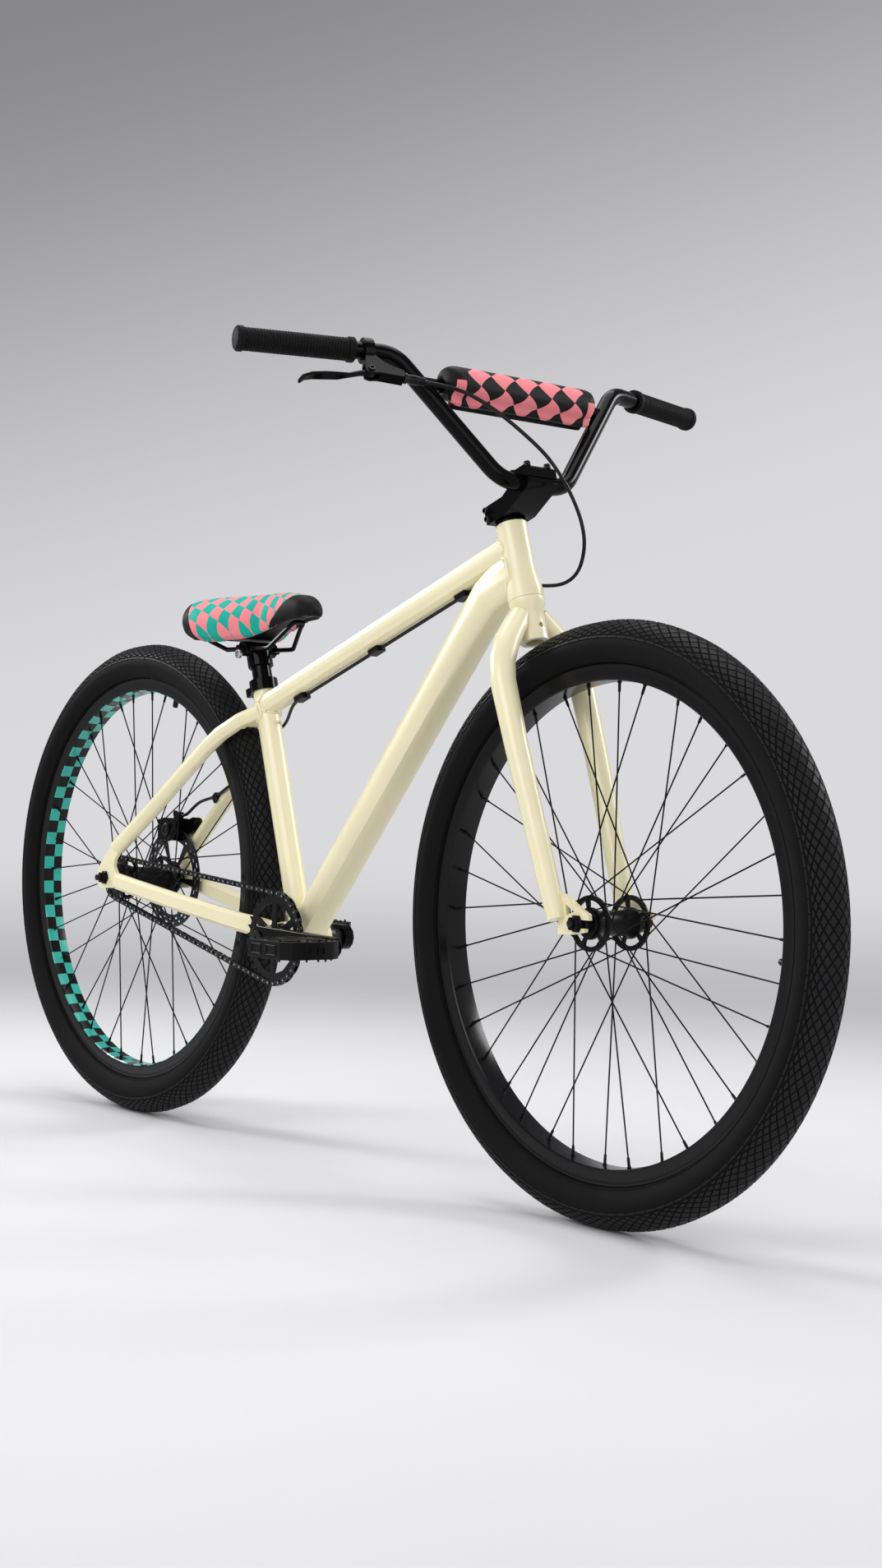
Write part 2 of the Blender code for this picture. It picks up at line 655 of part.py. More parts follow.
def add_rear_triangle(axes, seat_guide, shell_guide):
    frame = axes["frame"]
    for side, word in ((-1, "right"), (1, "left")):
        seatstay, chainstay = stay_bodies(side)
        seat_piece = add_piece(f"seatstay_{word}", seatstay, frame, "cream")
        cut(seat_piece, seat_guide)
        seat_body, _ = stay_bodies(side, CLEARANCE)
        seat_cutter = add_guide(f"guide_seatstay_{word}", seat_body, frame)
        chain_piece = add_piece(f"chainstay_{word}", chainstay, frame, "cream")
        cut(chain_piece, shell_guide, seat_guide)
        inner = REAR_HUB_WIDTH / 2 + CLEARANCE
        start, end = sorted((side * inner, side * (inner + DROPOUT_THICKNESS)))
        dropout = plate(dropout_outline(), [], start, end)
        weld(chain_piece, add_guide(f"guide_dropout_{word}", dropout, axes["rear_wheel"]))
        if side > 0:
            tab = plate(DISC_TAB_OUTLINE, [circle_at(TAB_HOLE, TAB_HOLE_RADIUS, 8)], start, end)
            weld(chain_piece, add_guide("guide_disc_tab", tab, axes["rear_wheel"]))
        cut(chain_piece, seat_cutter)

    reach, lift = BRIDGE_REACH
    bridge_place = stay_place(SEATSTAY_TOP, SEATSTAY_FOOT, reach * TYRE_RADIUS, lift * TYRE_RADIUS)
    bridge_half = 1.27 * TYRE_WIDTH / 2
    bridge = rod(0.0065, -bridge_half, bridge_half, 12, "Y")
    bridge_piece = add_piece("seatstay_bridge", move(bridge, bridge_place), frame, "cream")
    cut(bridge_piece, bpy.data.objects["guide_seatstay_right"], bpy.data.objects["guide_seatstay_left"])


def circle_at(centre, radius, count):
    return [(centre[0] + x, centre[1] + y) for x, y in circle(radius, count)]


def add_seat_clamp(axes):
    """The collar on the seat tube's top: a split ring with two ears behind it."""
    inside = bore_round(SEAT_TUBE_RADIUS, 16)
    outside = SEAT_TUBE_RADIUS + 0.0040
    lip = bore_round(SEATPOST_RADIUS, 16)
    profile = [
        (inside, -0.014), (outside, -0.014), (outside, 0.0035), (lip, 0.0035), (lip, CLEARANCE),
        (inside, CLEARANCE),
    ]
    collar = add_piece("seat_clamp", turned(profile, 16), axes["seat_clamp"], "satin_black")
    ears = box((-0.0360, -0.0085, -0.0115), (-0.0195, 0.0085, 0.0010))
    weld(collar, add_guide("guide_clamp_ears", ears, axes["seat_clamp"]))
    split = box((-0.0500, -0.0012, -0.0200), (-0.0100, 0.0012, 0.0100))
    cut(collar, add_guide("guide_clamp_split", split, axes["seat_clamp"]))


def clip_places():
    """Each clip's share of the top tube: the front one where the down tube leaves room for it."""
    line = (DOWN_TUBE_BEND - BRACKET).normalized()
    above = Vector((-line.z, 0, line.x))
    rear_gap, front_gap = ((end - BRACKET).dot(above) for end in (TOP_TUBE_REAR, TOP_TUBE_FRONT))
    front = (rear_gap - FRONT_CLIP_ROOM) / (rear_gap - front_gap)
    return {"rear": 0.186 * front, "middle": 0.580 * front, "front": front}


CLIP_PLACES = clip_places()


def add_cable_clips(axes, cable_guide):
    """Clips under the top tube, each a saddle with a groove for the cable."""
    along = TOP_TUBE_FRONT - TOP_TUBE_REAR
    slope = math.atan2(along.z, along.x)
    for word, share in CLIP_PLACES.items():
        half = blend(*TOP_TUBE_HEIGHT, share) / 2
        axis = empty(f"clip_place_{word}", TOP_TUBE_REAR + along * share, (0, -slope, 0), axes["frame"])
        low = (-CLIP_HALF_LENGTH, -0.0075, -half - 0.0085)
        high = (CLIP_HALF_LENGTH, 0.0075, -half - CLEARANCE)
        cut(add_piece(f"cable_clip_{word}", box(low, high), axis, "plastic"), cable_guide)


# Bottom bracket and cranks

def add_bottom_bracket(axes):
    """The bearing cartridge in the shell, with a flange outside each end."""
    bore = bore_round(SPINDLE_RADIUS, 16)
    face = BRACKET_SHELL_WIDTH / 2 + CLEARANCE
    body = CUP_SEAT_RADIUS - CLEARANCE
    profile = [
        (bore, -CUP_FLANGE_END), (0.0205, -CUP_FLANGE_END), (0.0215, -face), (body, -face),
        (body, face), (0.0215, face), (0.0205, CUP_FLANGE_END), (bore, CUP_FLANGE_END),
    ]
    add_piece("bottom_bracket_cartridge", turned(profile, 16, axis="Y"), axes["crank"], "satin_black")


def link_outline(length, start_radius, end_radius, count):
    """Two rounded ends joined by straight flanks, along +X from the origin."""
    lean = math.degrees(math.asin((start_radius - end_radius) / length))
    return arc((0, 0), start_radius, 90 - lean, 270 + lean, count) + arc(
        (length, 0), end_radius, -90 + lean, 90 - lean, count)


def add_cranks(axes):
    outer_face = CRANK_INNER_FACE + CRANK_THICKNESS
    cap_start = outer_face + CLEARANCE
    spacer_start = CUP_FLANGE_END + CLEARANCE
    head = 0.0118
    spindle = [
        (0, -cap_start - 0.004), (head, -cap_start - 0.003), (head, -cap_start), (SPINDLE_RADIUS, -cap_start),
        (SPINDLE_RADIUS, spacer_start), (0.0125, spacer_start), (0.0125, CRANK_INNER_FACE - CLEARANCE),
        (SPINDLE_RADIUS, CRANK_INNER_FACE - CLEARANCE), (SPINDLE_RADIUS, cap_start), (head, cap_start),
        (head, cap_start + 0.003), (0, cap_start + 0.004),
    ]
    add_piece("crank_spindle", turned(spindle, 10, closed=False, axis="Y"), axes["crank"], "black_metal")

    for side, word, heading in ((-1, "right", 1), (1, "left", -1)):
        start, end = sorted((side * CRANK_INNER_FACE, side * outer_face))
        outline = [(heading * x, z) for x, z in link_outline(CRANK_LENGTH, 0.0185, 0.0140, 6)]
        arm = plate(outline, [circle(SPINDLE_RADIUS + CLEARANCE, 10)], start, end)
        piece = add_piece(f"crank_arm_{word}", arm, axes["crank"], "satin_black")
        shoulder = outer_face + 0.0060
        tip = shoulder + PEDAL_WIDTH * 0.80
        axle = [
            (0, side * (outer_face - 0.008)), (0.0090, side * (outer_face - 0.008)),
            (0.0090, side * shoulder), (PEDAL_SPINDLE_RADIUS, side * (shoulder + 0.0005)),
            (PEDAL_SPINDLE_RADIUS, side * tip), (0, side * tip),
        ]
        weld(piece, add_guide(
            f"guide_pedal_spindle_{word}", turned(axle, 8, closed=False, axis="Y"), axes[f"pedal_{word}"]))


def add_pedals(axes):
    """Platform pedals: a cage with four windows round a central barrel."""
    face = CRANK_INNER_FACE + CRANK_THICKNESS + 0.0070
    half = PEDAL_LENGTH / 2
    for side, word in ((-1, "right"), (1, "left")):
        near, far = face, face + PEDAL_WIDTH
        outline = [
            (-half, near + 0.020), (-half + 0.014, near), (half - 0.014, near), (half, near + 0.020),
            (half, far - 0.012), (half - 0.012, far), (-half + 0.012, far), (-half, far - 0.012),
        ]
        windows = []
        for x_low, x_high in ((-half + 0.011, -0.0170), (0.0170, half - 0.011)):
            for y_low, y_high in ((near + 0.0150, near + 0.0440), (near + 0.0540, far - 0.0120)):
                windows.append([(x_low, y_low), (x_high, y_low), (x_high, y_high), (x_low, y_high)])
        body = plate(outline, windows, -PEDAL_HEIGHT / 2, PEDAL_HEIGHT / 2)
        turn(body, -90, "X")
        if side < 0:
            bmesh.ops.scale(body, verts=body.verts, vec=(1, -1, 1))
            bmesh.ops.reverse_faces(body, faces=body.faces)
        pedal = add_piece(f"pedal_{word}", body, axes[f"pedal_{word}"], "plastic")
        barrel = rod(0.0140, side * (near + 0.001), side * (far - 0.002), 10, "Y")
        weld(pedal, add_guide(f"guide_barrel_{word}", barrel, axes[f"pedal_{word}"]))
        bore_end = CRANK_INNER_FACE + CRANK_THICKNESS + 0.0060 + PEDAL_WIDTH * 0.80 + 0.0005
        bore = rod(bore_round(PEDAL_SPINDLE_RADIUS, 8), side * (near - 0.005), side * bore_end, 8, "Y")
        cut(pedal, add_guide(f"guide_pedal_bore_{word}", bore, axes[f"pedal_{word}"]))


# Chain and sprockets

def sprocket_outline(teeth, phase):
    """A toothed outline whose gaps hold the chain's rollers."""
    radius = sprocket_radius(teeth)
    pitch_angle = math.tau / teeth
    root_radius = radius - LINK_HALF_HEIGHT - 2 * CLEARANCE
    tip_radius = radius + 0.0036
    root_half = 0.0027 / root_radius
    points = []
    for i in range(teeth):
        gap = phase + i * pitch_angle
        tooth = gap + pitch_angle / 2
        for angle, r in (
            (gap - root_half, root_radius), (gap + root_half, root_radius), (tooth, tip_radius),
        ):
            points.append((r * math.cos(angle), r * math.sin(angle)))
    return points


def chain_pins():
    """Where each pin of the chain lies round both sprockets, and each sprocket's first gap."""
    large, small = sprocket_radius(CHAINRING_TEETH), sprocket_radius(COG_TEETH)
    lean = math.asin((large - small) / SPROCKET_DISTANCE)
    line = math.atan2(REAR_AXLE.z - BRACKET.z, REAR_AXLE.x - BRACKET.x)
    straight = SPROCKET_DISTANCE * math.cos(lean) / CHAIN_PITCH
    on_ring = CHAINRING_TEETH * (0.5 + lean / math.pi)
    on_cog = COG_TEETH * (0.5 - lean / math.pi)
    ring_start = line + math.pi / 2 - lean
    cog_start = line - math.pi / 2 + lean

    def on_circle(centre, radius, angle):
        return Vector((centre.x + radius * math.cos(angle), 0, centre.z + radius * math.sin(angle)))

    lower = (on_circle(BRACKET, large, cog_start), on_circle(REAR_AXLE, small, cog_start))
    upper = (on_circle(REAR_AXLE, small, ring_start), on_circle(BRACKET, large, ring_start))
    pins = []
    for i in range(CHAIN_LINKS):
        place = i + 0.5
        if place < on_ring:
            pins.append(on_circle(BRACKET, large, ring_start + math.tau * place / CHAINRING_TEETH))
        elif place < on_ring + straight:
            pins.append(lower[0].lerp(lower[1], (place - on_ring) / straight))
        elif place < on_ring + straight + on_cog:
            angle = cog_start + math.tau * (place - on_ring - straight) / COG_TEETH
            pins.append(on_circle(REAR_AXLE, small, angle))
        else:
            pins.append(upper[0].lerp(upper[1], (place - on_ring - straight - on_cog) / straight))
    ring_phase = ring_start + math.tau * 0.5 / CHAINRING_TEETH
    first_on_cog = math.ceil(on_ring + straight - 0.5) + 0.5 - on_ring - straight
    cog_phase = cog_start + math.tau * first_on_cog / COG_TEETH
    return pins, ring_phase, cog_phase


def link_corners(bm, start, end):
    """An inner link's corners by side, level and place along: end, overlap, overlap, end."""
    along = (end - start).normalized()
    across = Vector((-along.z, 0, along.x))
    length = (end - start).length
    half = LINK_INSIDE + LINK_PLATE
    corners = {}
    for side in (-1, 1):
        for level in (-1, 1):
            places = (-BUSHING_HALF_LENGTH, LINK_OVERLAP, length - LINK_OVERLAP, length + BUSHING_HALF_LENGTH)
            lift = across * level * LINK_HALF_HEIGHT + Vector((0, side * half - CHAINLINE, 0))
            corners[side, level] = [bm.verts.new(start + along * place + lift) for place in places]
            lift = across * level * LINK_HALF_HEIGHT + Vector((0, side * LINK_INSIDE - CHAINLINE, 0))
            places = (BUSHING_HALF_LENGTH, length - BUSHING_HALF_LENGTH)
            corners[side, level] += [bm.verts.new(start + along * place + lift) for place in places]
    return corners


def add_inner_link(bm, corners):
    """Two plates with a bushing at each end, as one frame round the window that a tooth enters."""
    right, left = -1, 1
    for level in (-1, 1):
        r, l = corners[right, level], corners[left, level]
        bm.faces.new((r[0], r[1], r[4], l[4], l[1], l[0]))
        bm.faces.new((r[2], r[3], l[3], l[2], l[5], r[5]))
        bm.faces.new((r[1], r[2], r[5], r[4]))
        bm.faces.new((l[1], l[2], l[5], l[4]))
    for side in (right, left):
        low, high = corners[side, -1], corners[side, 1]
        bm.faces.new((low[1], low[2], high[2], high[1]))
        bm.faces.new((low[4], low[5], high[5], high[4]))
    for i in (0, 3, 4, 5):
        quad = [corners[right, -1][i], corners[left, -1][i], corners[left, 1][i], corners[right, 1][i]]
        bm.faces.new(quad)


def add_outer_plate(bm, here, following, side):
    """An outer plate on one side, lapping over the ends of the inner links before and after it."""
    outline = [here[side, -1][i] for i in (2, 3)] + [following[side, -1][i] for i in (0, 1)]
    outline += [following[side, 1][i] for i in (1, 0)] + [here[side, 1][i] for i in (3, 2)]
    outside = [bm.verts.new(vert.co + Vector((0, side * LINK_PLATE, 0))) for vert in outline]
    for i in range(8):
        j = (i + 1) % 8
        bm.faces.new((outline[i], outline[j], outside[j], outside[i]))
    for i in range(3):
        bm.faces.new((outside[i], outside[i + 1], outside[6 - i], outside[7 - i]))
    bm.faces.new((outline[1], outline[2], outline[5], outline[6]))


def add_chain(axes):
    """The chain: inner links with their bushings, joined by outer plates, as one closed body."""
    pins, ring_phase, cog_phase = chain_pins()
    chain = bmesh.new()
    links = [link_corners(chain, pins[i], pins[i + 1]) for i in range(0, len(pins), 2)]
    for i, corners in enumerate(links):
        add_inner_link(chain, corners)
        for side in (-1, 1):
            add_outer_plate(chain, corners, links[(i + 1) % len(links)], side)
    bmesh.ops.recalc_face_normals(chain, faces=chain.faces)
    add_piece("chain", chain, axes["frame"], "black_metal")
    return ring_phase, cog_phase


def spider_windows(count, inner_radius, outer_radius, arm_width, phase, points=3):
    """Windows between the arms of a spider, each a band between two radii."""
    windows = []
    for i in range(count):
        first = phase + math.tau * i / count
        last = first + math.tau / count
        loop = []
        for radius, order in ((inner_radius, (0, 1)), (outer_radius, (1, 0))):
            margin = math.asin(arm_width / 2 / radius)
            steps = 1 if radius == inner_radius else points - 1
            for k in range(steps + 1):
                t = k / steps if order == (0, 1) else 1 - k / steps
                angle = blend(first + margin, last - margin, t)
                loop.append((radius * math.cos(angle), radius * math.sin(angle)))
        windows.append(loop)
    return windows


def add_sprockets(axes, ring_phase, cog_phase):
    half = SPROCKET_THICKNESS / 2
    windows = spider_windows(6, 0.0205, 0.0510, 0.0110, math.radians(30))
    outline = sprocket_outline(CHAINRING_TEETH, ring_phase)
    ring_plate = plate(outline, windows + [circle(0.0125, 10)], -CHAINLINE - half, -CHAINLINE + half)
    chainring = add_piece("chainring", ring_plate, axes["crank"], "satin_black")
    boss_start = -CRANK_INNER_FACE + CLEARANCE
    boss_end = -CUP_FLANGE_END - CLEARANCE
    boss = ring(bore_round(SPINDLE_RADIUS, 12), CHAINRING_BOSS_RADIUS, boss_start, boss_end, 12, "Y")
    weld(chainring, add_guide("guide_chainring_boss", boss, axes["crank"]))

    outline = sprocket_outline(COG_TEETH, cog_phase)
    cog_plate = plate(outline, [circle(0.0200, 8)], -CHAINLINE - half, -CHAINLINE + half)
    cog = add_piece("freewheel_cog", cog_plate, axes["rear_wheel"], "satin_black")
    seat = bore_round(FREEWHEEL_SEAT_RADIUS, 12)
    body = ring(seat, 0.0240, -CHAINLINE - 0.0055, -CHAINLINE + 0.0085, 12, "Y")
    weld(cog, add_guide("guide_freewheel_body", body, axes["rear_wheel"]))


# Wheels

def tyre_profile():
    """A hollow tyre, open towards the rim, as (radius, half width) from bead to bead."""
    half = TYRE_WIDTH / 2
    bead = RIM_OUTER_RADIUS - 0.0035
    outside = [
        (bead, 0.0133), (RIM_OUTER_RADIUS + 0.0006, 0.0146), (RIM_OUTER_RADIUS + 0.0045, 0.0225),
        (TYRE_RADIUS - 0.0315, half), (TYRE_RADIUS - 0.0115, half - 0.0075), (TYRE_RADIUS, 0.0080),
    ]
    inside = [(bead, 0.0112), (TYRE_RADIUS - 0.0095, 0.0165)]
    outer = [(r, -y) for r, y in outside] + [(r, y) for r, y in reversed(outside)]
    inner = list(inside) + [(r, -y) for r, y in reversed(inside)]
    return outer + inner


def rim_profile():
    half = RIM_WIDTH / 2
    right = [(RIM_OUTER_RADIUS, -half), (RIM_INNER_RADIUS, -half + 0.0065)]
    left = [(r, -y) for r, y in reversed(right)]
    well = [(RIM_OUTER_RADIUS, half - 0.0025), (RIM_INNER_RADIUS + 0.0027, half - 0.0085)]
    return right + left + well + [(r, -y) for r, y in reversed(well)]


def add_prism(bm, start, end, radius, sides):
    """Adds a straight bar between two points to a mesh."""
    axis = (end - start).normalized()
    side = axis.orthogonal().normalized()
    up = axis.cross(side)
    rings = []
    for point in (start, end):
        rings.append([bm.verts.new(point + side * x + up * y) for x, y in circle(radius, sides)])
    for face in rings:
        bm.faces.new(face)
    for i in range(sides):
        j = (i + 1) % sides
        bm.faces.new((rings[0][i], rings[0][j], rings[1][j], rings[1][i]))


def spoke_ends():
    """Each spoke's ends in the wheel's frame: crossed three times, passing inside and outside by turns."""
    per_side = SPOKE_COUNT // 2
    ends = []
    for side in (-1, 1):
        for i in range(per_side):
            hub_angle = math.tau * (i + (0.5 if side > 0 else 0)) / per_side
            lean = 1 if i % 2 == 0 else -1
            rim_angle = hub_angle + SPOKE_CROSS_ANGLE * lean
            root = FLANGE_RADIUS - SPOKE_ROOT
            reach = RIM_INNER_RADIUS - 2 * CLEARANCE
            y = side * FLANGE_SPACING / 2 + SPOKE_OFFSET * lean
            hub = Vector((root * math.cos(hub_angle), y, root * math.sin(hub_angle)))
            y = side * 0.003 + SPOKE_TIP_OFFSET * lean
            rim = Vector((reach * math.cos(rim_angle), y, reach * math.sin(rim_angle)))
            ends.append((hub, rim))
    return ends


HUB_PROFILES = {
    "front": [
        (HUB_BORE, -0.0400), (0.0170, -0.0400), (0.0170, -0.0335), (0.0195, -0.0300), (0.0160, -0.0200),
        (0.0160, 0.0200), (0.0195, 0.0300), (0.0170, 0.0335), (0.0170, 0.0400), (HUB_BORE, 0.0400),
    ],
    "rear": [
        (HUB_BORE, -0.0570), (FREEWHEEL_SEAT_RADIUS, -0.0570), (FREEWHEEL_SEAT_RADIUS, -0.0385),
        (0.0190, -0.0385), (0.0190, -0.0300),
        (0.0170, -0.0200), (0.0170, 0.0200), (0.0200, 0.0300), (0.0215, 0.0345),
        (0.0215, DISC_OFFSET - DISC_THICKNESS / 2 - CLEARANCE),
        (DISC_SEAT_RADIUS, DISC_OFFSET - DISC_THICKNESS / 2 - CLEARANCE), (DISC_SEAT_RADIUS, 0.0555),
        (HUB_BORE, 0.0555),
    ],
}


def add_wheel(axes, word, valve_angle):
    axis = axes[f"{word}_wheel"]
    add_piece(f"tyre_{word}", turned(tyre_profile(), WHEEL_STEPS, axis="Y"), axis, "rubber", 50)
    rim = add_piece(f"rim_{word}", turned(rim_profile(), WHEEL_STEPS, axis="Y"), axis, "satin_black", 30)

    profile = HUB_PROFILES[word]
    hub = add_piece(f"hub_{word}", turned(profile, HUB_STEPS, axis="Y"), axis, "gloss_black")
    for side in (-1, 1):
        start = side * FLANGE_SPACING / 2 - FLANGE_THICKNESS / 2
        facet = math.tau / (SPOKE_COUNT // 2)
        phase = -facet / 2 if side < 0 else 0.0
        windows = spider_windows(6, 0.0205, 0.0262, 0.0085, phase, 2)
        outline = circle(FLANGE_RADIUS, SPOKE_COUNT // 2, phase)
        flange = plate(outline, windows + [circle(0.0145, 8)], start, start + FLANGE_THICKNESS)
        side_word = "left" if side > 0 else "right"
        weld(hub, add_guide(f"guide_flange_{word}_{side_word}", flange, axis))
    spokes = bmesh.new()
    for hub_end, rim_end in spoke_ends():
        add_prism(spokes, hub_end, rim_end, SPOKE_RADIUS, 3)
    bmesh.ops.recalc_face_normals(spokes, faces=spokes.faces)
    weld(hub, add_guide(f"guide_spokes_{word}", spokes, axis))

    wall = RIM_INNER_RADIUS * math.cos(math.pi / WHEEL_STEPS)
    stem = turned([
        (0, wall - 0.0280), (0.0026, wall - 0.0280), (0.0026, wall - 0.0060), (0.0042, wall - 0.0055),
        (0.0042, wall + 0.0018), (0, wall + 0.0018),
    ], 8, closed=False)
    turn(stem, math.degrees(valve_angle), "Y")
    weld(rim, add_guide(f"guide_valve_{word}", stem, axis))


def add_axle(axes, word, hub_width, plate_thickness, tip, cones):
    """The axle with the cones that run in the hub's ends, and a nut outside each end plate."""
    axis = axes[f"{word}_wheel"]
    end = hub_width / 2
    (right, left) = cones
    cone = HUB_BORE * math.cos(math.pi / HUB_STEPS) - CLEARANCE
    profile = [
        (0, -tip), (AXLE_RADIUS, -tip + 0.0008), (AXLE_RADIUS, -end), (cone, -end), (cone, -right),
        (AXLE_RADIUS, -right), (AXLE_RADIUS, left), (cone, left), (cone, end), (AXLE_RADIUS, end),
        (AXLE_RADIUS, tip - 0.0008), (0, tip),
    ]
    add_piece(f"axle_{word}", turned(profile, 10, closed=False, axis="Y"), axis, "black_metal")
    start = end + plate_thickness + 2 * CLEARANCE
    bore = bore_round(AXLE_RADIUS, 6)
    for side, side_word in ((-1, "right"), (1, "left")):
        faces = [side * (start + depth) for depth in (0, 0.0020, 0.0085)]
        nut = turned([
            (bore, faces[0]), (0.0120, faces[0]), (0.0110, faces[1]), (0.0090, faces[1]), (0.0090, faces[2]),
            (bore, faces[2]),
        ], 6, axis="Y")
        add_piece(f"axle_nut_{word}_{side_word}", nut, axis, "black_metal")


def add_brake_disc(axes):
    windows = spider_windows(6, 0.0260, 0.0610, 0.0120, 0.3, 3)
    outline = circle(DISC_RADIUS, 30)
    start = DISC_OFFSET - DISC_THICKNESS / 2
    windows.append(circle(bore_round(DISC_SEAT_RADIUS, 10), 10))
    disc = plate(outline, windows, start, start + DISC_THICKNESS)
    add_piece("brake_disc", disc, axes["rear_wheel"], "steel")


# Fork

def crown_profile(extra=0.0):
    """The steerer's root and the crown's post, from the top collar down."""
    return [
        (CROWN_RADIUS + extra, -CLEARANCE + extra), (CROWN_RADIUS + extra, -0.0090 - extra),
        (0.0190 + extra, -0.0160 - extra), (0.0185 + extra, -CROWN_FOOT - extra),
    ]


def fork_leg_body(side):
    """A leg of the fork: out of the crown, round the shoulder and down to the axle."""
    spread = FORK_LEG_SPREAD
    lower = FRONT_HUB_WIDTH / 2 + 0.0105
    root, shoulder, foot = FORK_LEG_RADII
    stations = [
        (0.022, 0.210 * spread, -0.0010, root), (0.040, 0.451 * spread, -0.0010, (root + shoulder) / 2),
        (0.060, 0.699 * spread, -0.0010, shoulder), (0.085, 0.910 * spread, -0.0008, shoulder),
        (0.115, spread, -0.0005, blend(shoulder, foot, 0.08)),
        (0.456 * FORK_LENGTH, spread, 0.0010, blend(shoulder, foot, 0.33)),
        (FORK_LENGTH - 4 * LEG_FOOT, lower, 0.0036, blend(shoulder, foot, 0.69)),
        (FORK_LENGTH - LEG_FOOT, lower - 0.0010, 0.0045, foot),
    ]
    path = [Vector((x, side * y, -s)) for s, y, x, _ in stations]
    sections = [circle(radius, 10) for *_, radius in stations]
    return sweep(path, sections, (1, 0, 0))


def fork_end_outline():
    """The front end plate about the axle, with its slot open to the front."""
    slot = AXLE_RADIUS + 0.0004
    return [
        (-0.0330, 0.0370), (-0.0210, 0.0335), (0.0060, 0.0185), (0.0205, 0.0125), (0.0213, slot),
        *arc((0, 0), slot, 90, 270, 6),
        (0.0150, -slot), (0.0146, -0.0095), (-0.0050, -0.0135), (-0.0330, -0.0150),
    ]


def add_fork(axes):
    steering = axes["steering"]
    top = STEERER_TOP
    race = RACE_DEPTH - CLEARANCE
    post = crown_profile()
    profile = [
        (STEERER_RADIUS, top), (STEERER_RADIUS, race), (LOWER_RACE_RADIUS, race),
        (LOWER_RACE_RADIUS, -CLEARANCE), *post, (0.0120, -CROWN_FOOT), (0.0120, top),
    ]
    crown = add_piece("fork_crown", turned(profile, 16), steering, "cream")
    hole = move(rod(0.0035, -0.05, 0.05, 8, "X"), (0, 0, -0.040))
    cut(crown, add_guide("guide_crown_hole", hole, steering))
    crown_guide = add_guide(
        "guide_crown", turned([(0, -CLEARANCE), *crown_profile(CLEARANCE), (0, -CROWN_FOOT - CLEARANCE)], 16,
                              closed=False), steering)
    for side, word in ((-1, "right"), (1, "left")):
        leg = add_piece(f"fork_leg_{word}", fork_leg_body(side), steering, "cream")
        cut(leg, crown_guide)
        inner = FRONT_HUB_WIDTH / 2 + CLEARANCE
        start, end = sorted((side * inner, side * (inner + DROPOUT_THICKNESS)))
        window = [(-0.0205, 0.0225), (-0.0050, 0.0145), (-0.0190, 0.0085)]
        end_plate = plate(fork_end_outline(), [window], start, end)
        weld(leg, add_guide(f"guide_fork_end_{word}", end_plate, axes["front_wheel"]))


# Stem and handlebar

def add_stem(axes):
    steering = axes["steering"]
    bar = (STEM_REACH, BAR_HEIGHT)
    half = STEM_WIDTH / 2
    outline = [
        (-0.0190, STEM_BASE), (0.0205, STEM_BASE), (0.0290, STEM_BASE + 0.0030),
        (bar[0] + 0.0140, bar[1] - 0.0125), (bar[0] + 0.0205, bar[1] - 0.0060),
        (bar[0] + 0.0205, bar[1] - 0.0006), (bar[0] - 0.0200, bar[1] - 0.0006),
        (bar[0] - 0.0225, bar[1] + 0.0010), (0.0190, STEM_TOP), (-0.0140, STEM_TOP), (-0.0190, STEM_TOP - 0.0045),
    ]
    body = add_piece("stem", plate(outline, [], -half, half), steering, "gloss_black")
    bore = rod(STEERER_RADIUS + CLEARANCE, STEM_BASE - 0.010, STEM_TOP + 0.025, 16)
    groove = move(rod(BAR_RADIUS + CLEARANCE, -STEM_WIDTH, STEM_WIDTH, 16, "Y"), (bar[0], 0, bar[1]))
    slit = box((-0.0300, -0.0010, STEM_BASE - 0.010), (-0.0080, 0.0010, STEM_TOP + 0.015))
    bore_guide = add_guide("guide_steerer_bore", bore, steering)
    groove_guide = add_guide("guide_bar_groove", groove, steering)
    cut(body, bore_guide, groove_guide, add_guide("guide_stem_slit", slit, steering))

    cap_outline = [
        (bar[0] - 0.0200, bar[1] + 0.0010), (bar[0] + 0.0205, bar[1] + 0.0010),
        (bar[0] + 0.0205, bar[1] + 0.0135), (bar[0] + 0.0160, bar[1] + 0.0180),
        (bar[0] - 0.0155, bar[1] + 0.0180), (bar[0] - 0.0200, bar[1] + 0.0135),
    ]
    cap = add_piece("stem_clamp", plate(cap_outline, [], -half, half), steering, "gloss_black")
    cut(cap, groove_guide)
    for x_side in (-1, 1):
        for y_side in (-1, 1):
            head = rod(0.0042, bar[1] + 0.0150, bar[1] + 0.0225, 6)
            move(head, (bar[0] + x_side * 0.0145, y_side * 0.0170, 0))
            weld(cap, add_guide(f"guide_bolt_{x_side}_{y_side}", head, steering))

    start = HEAD_TUBE_LENGTH + CLEARANCE
    race = HEAD_TUBE_LENGTH - RACE_DEPTH + CLEARANCE
    inside = STEERER_RADIUS + CLEARANCE
    cover = turned([
        (inside, race), (UPPER_RACE_RADIUS, race), (UPPER_RACE_RADIUS, start),
        (HEAD_TUBE_TOP_RADIUS, start), (HEAD_TUBE_TOP_RADIUS, start + 0.0020),
        (0.0185, STEM_BASE - CLEARANCE), (inside, STEM_BASE - CLEARANCE),
    ], 16)
    add_piece("headset_cover", cover, steering, "satin_black")
    cap_start = STEM_TOP + CLEARANCE
    lid = turned([
        (0, cap_start), (0.0150, cap_start), (0.0150, cap_start + 0.0025), (0.0130, cap_start + 0.0040),
        (0, cap_start + 0.0040),
    ], 16, closed=False)
    add_piece("headset_top_cap", lid, steering, "gloss_black")


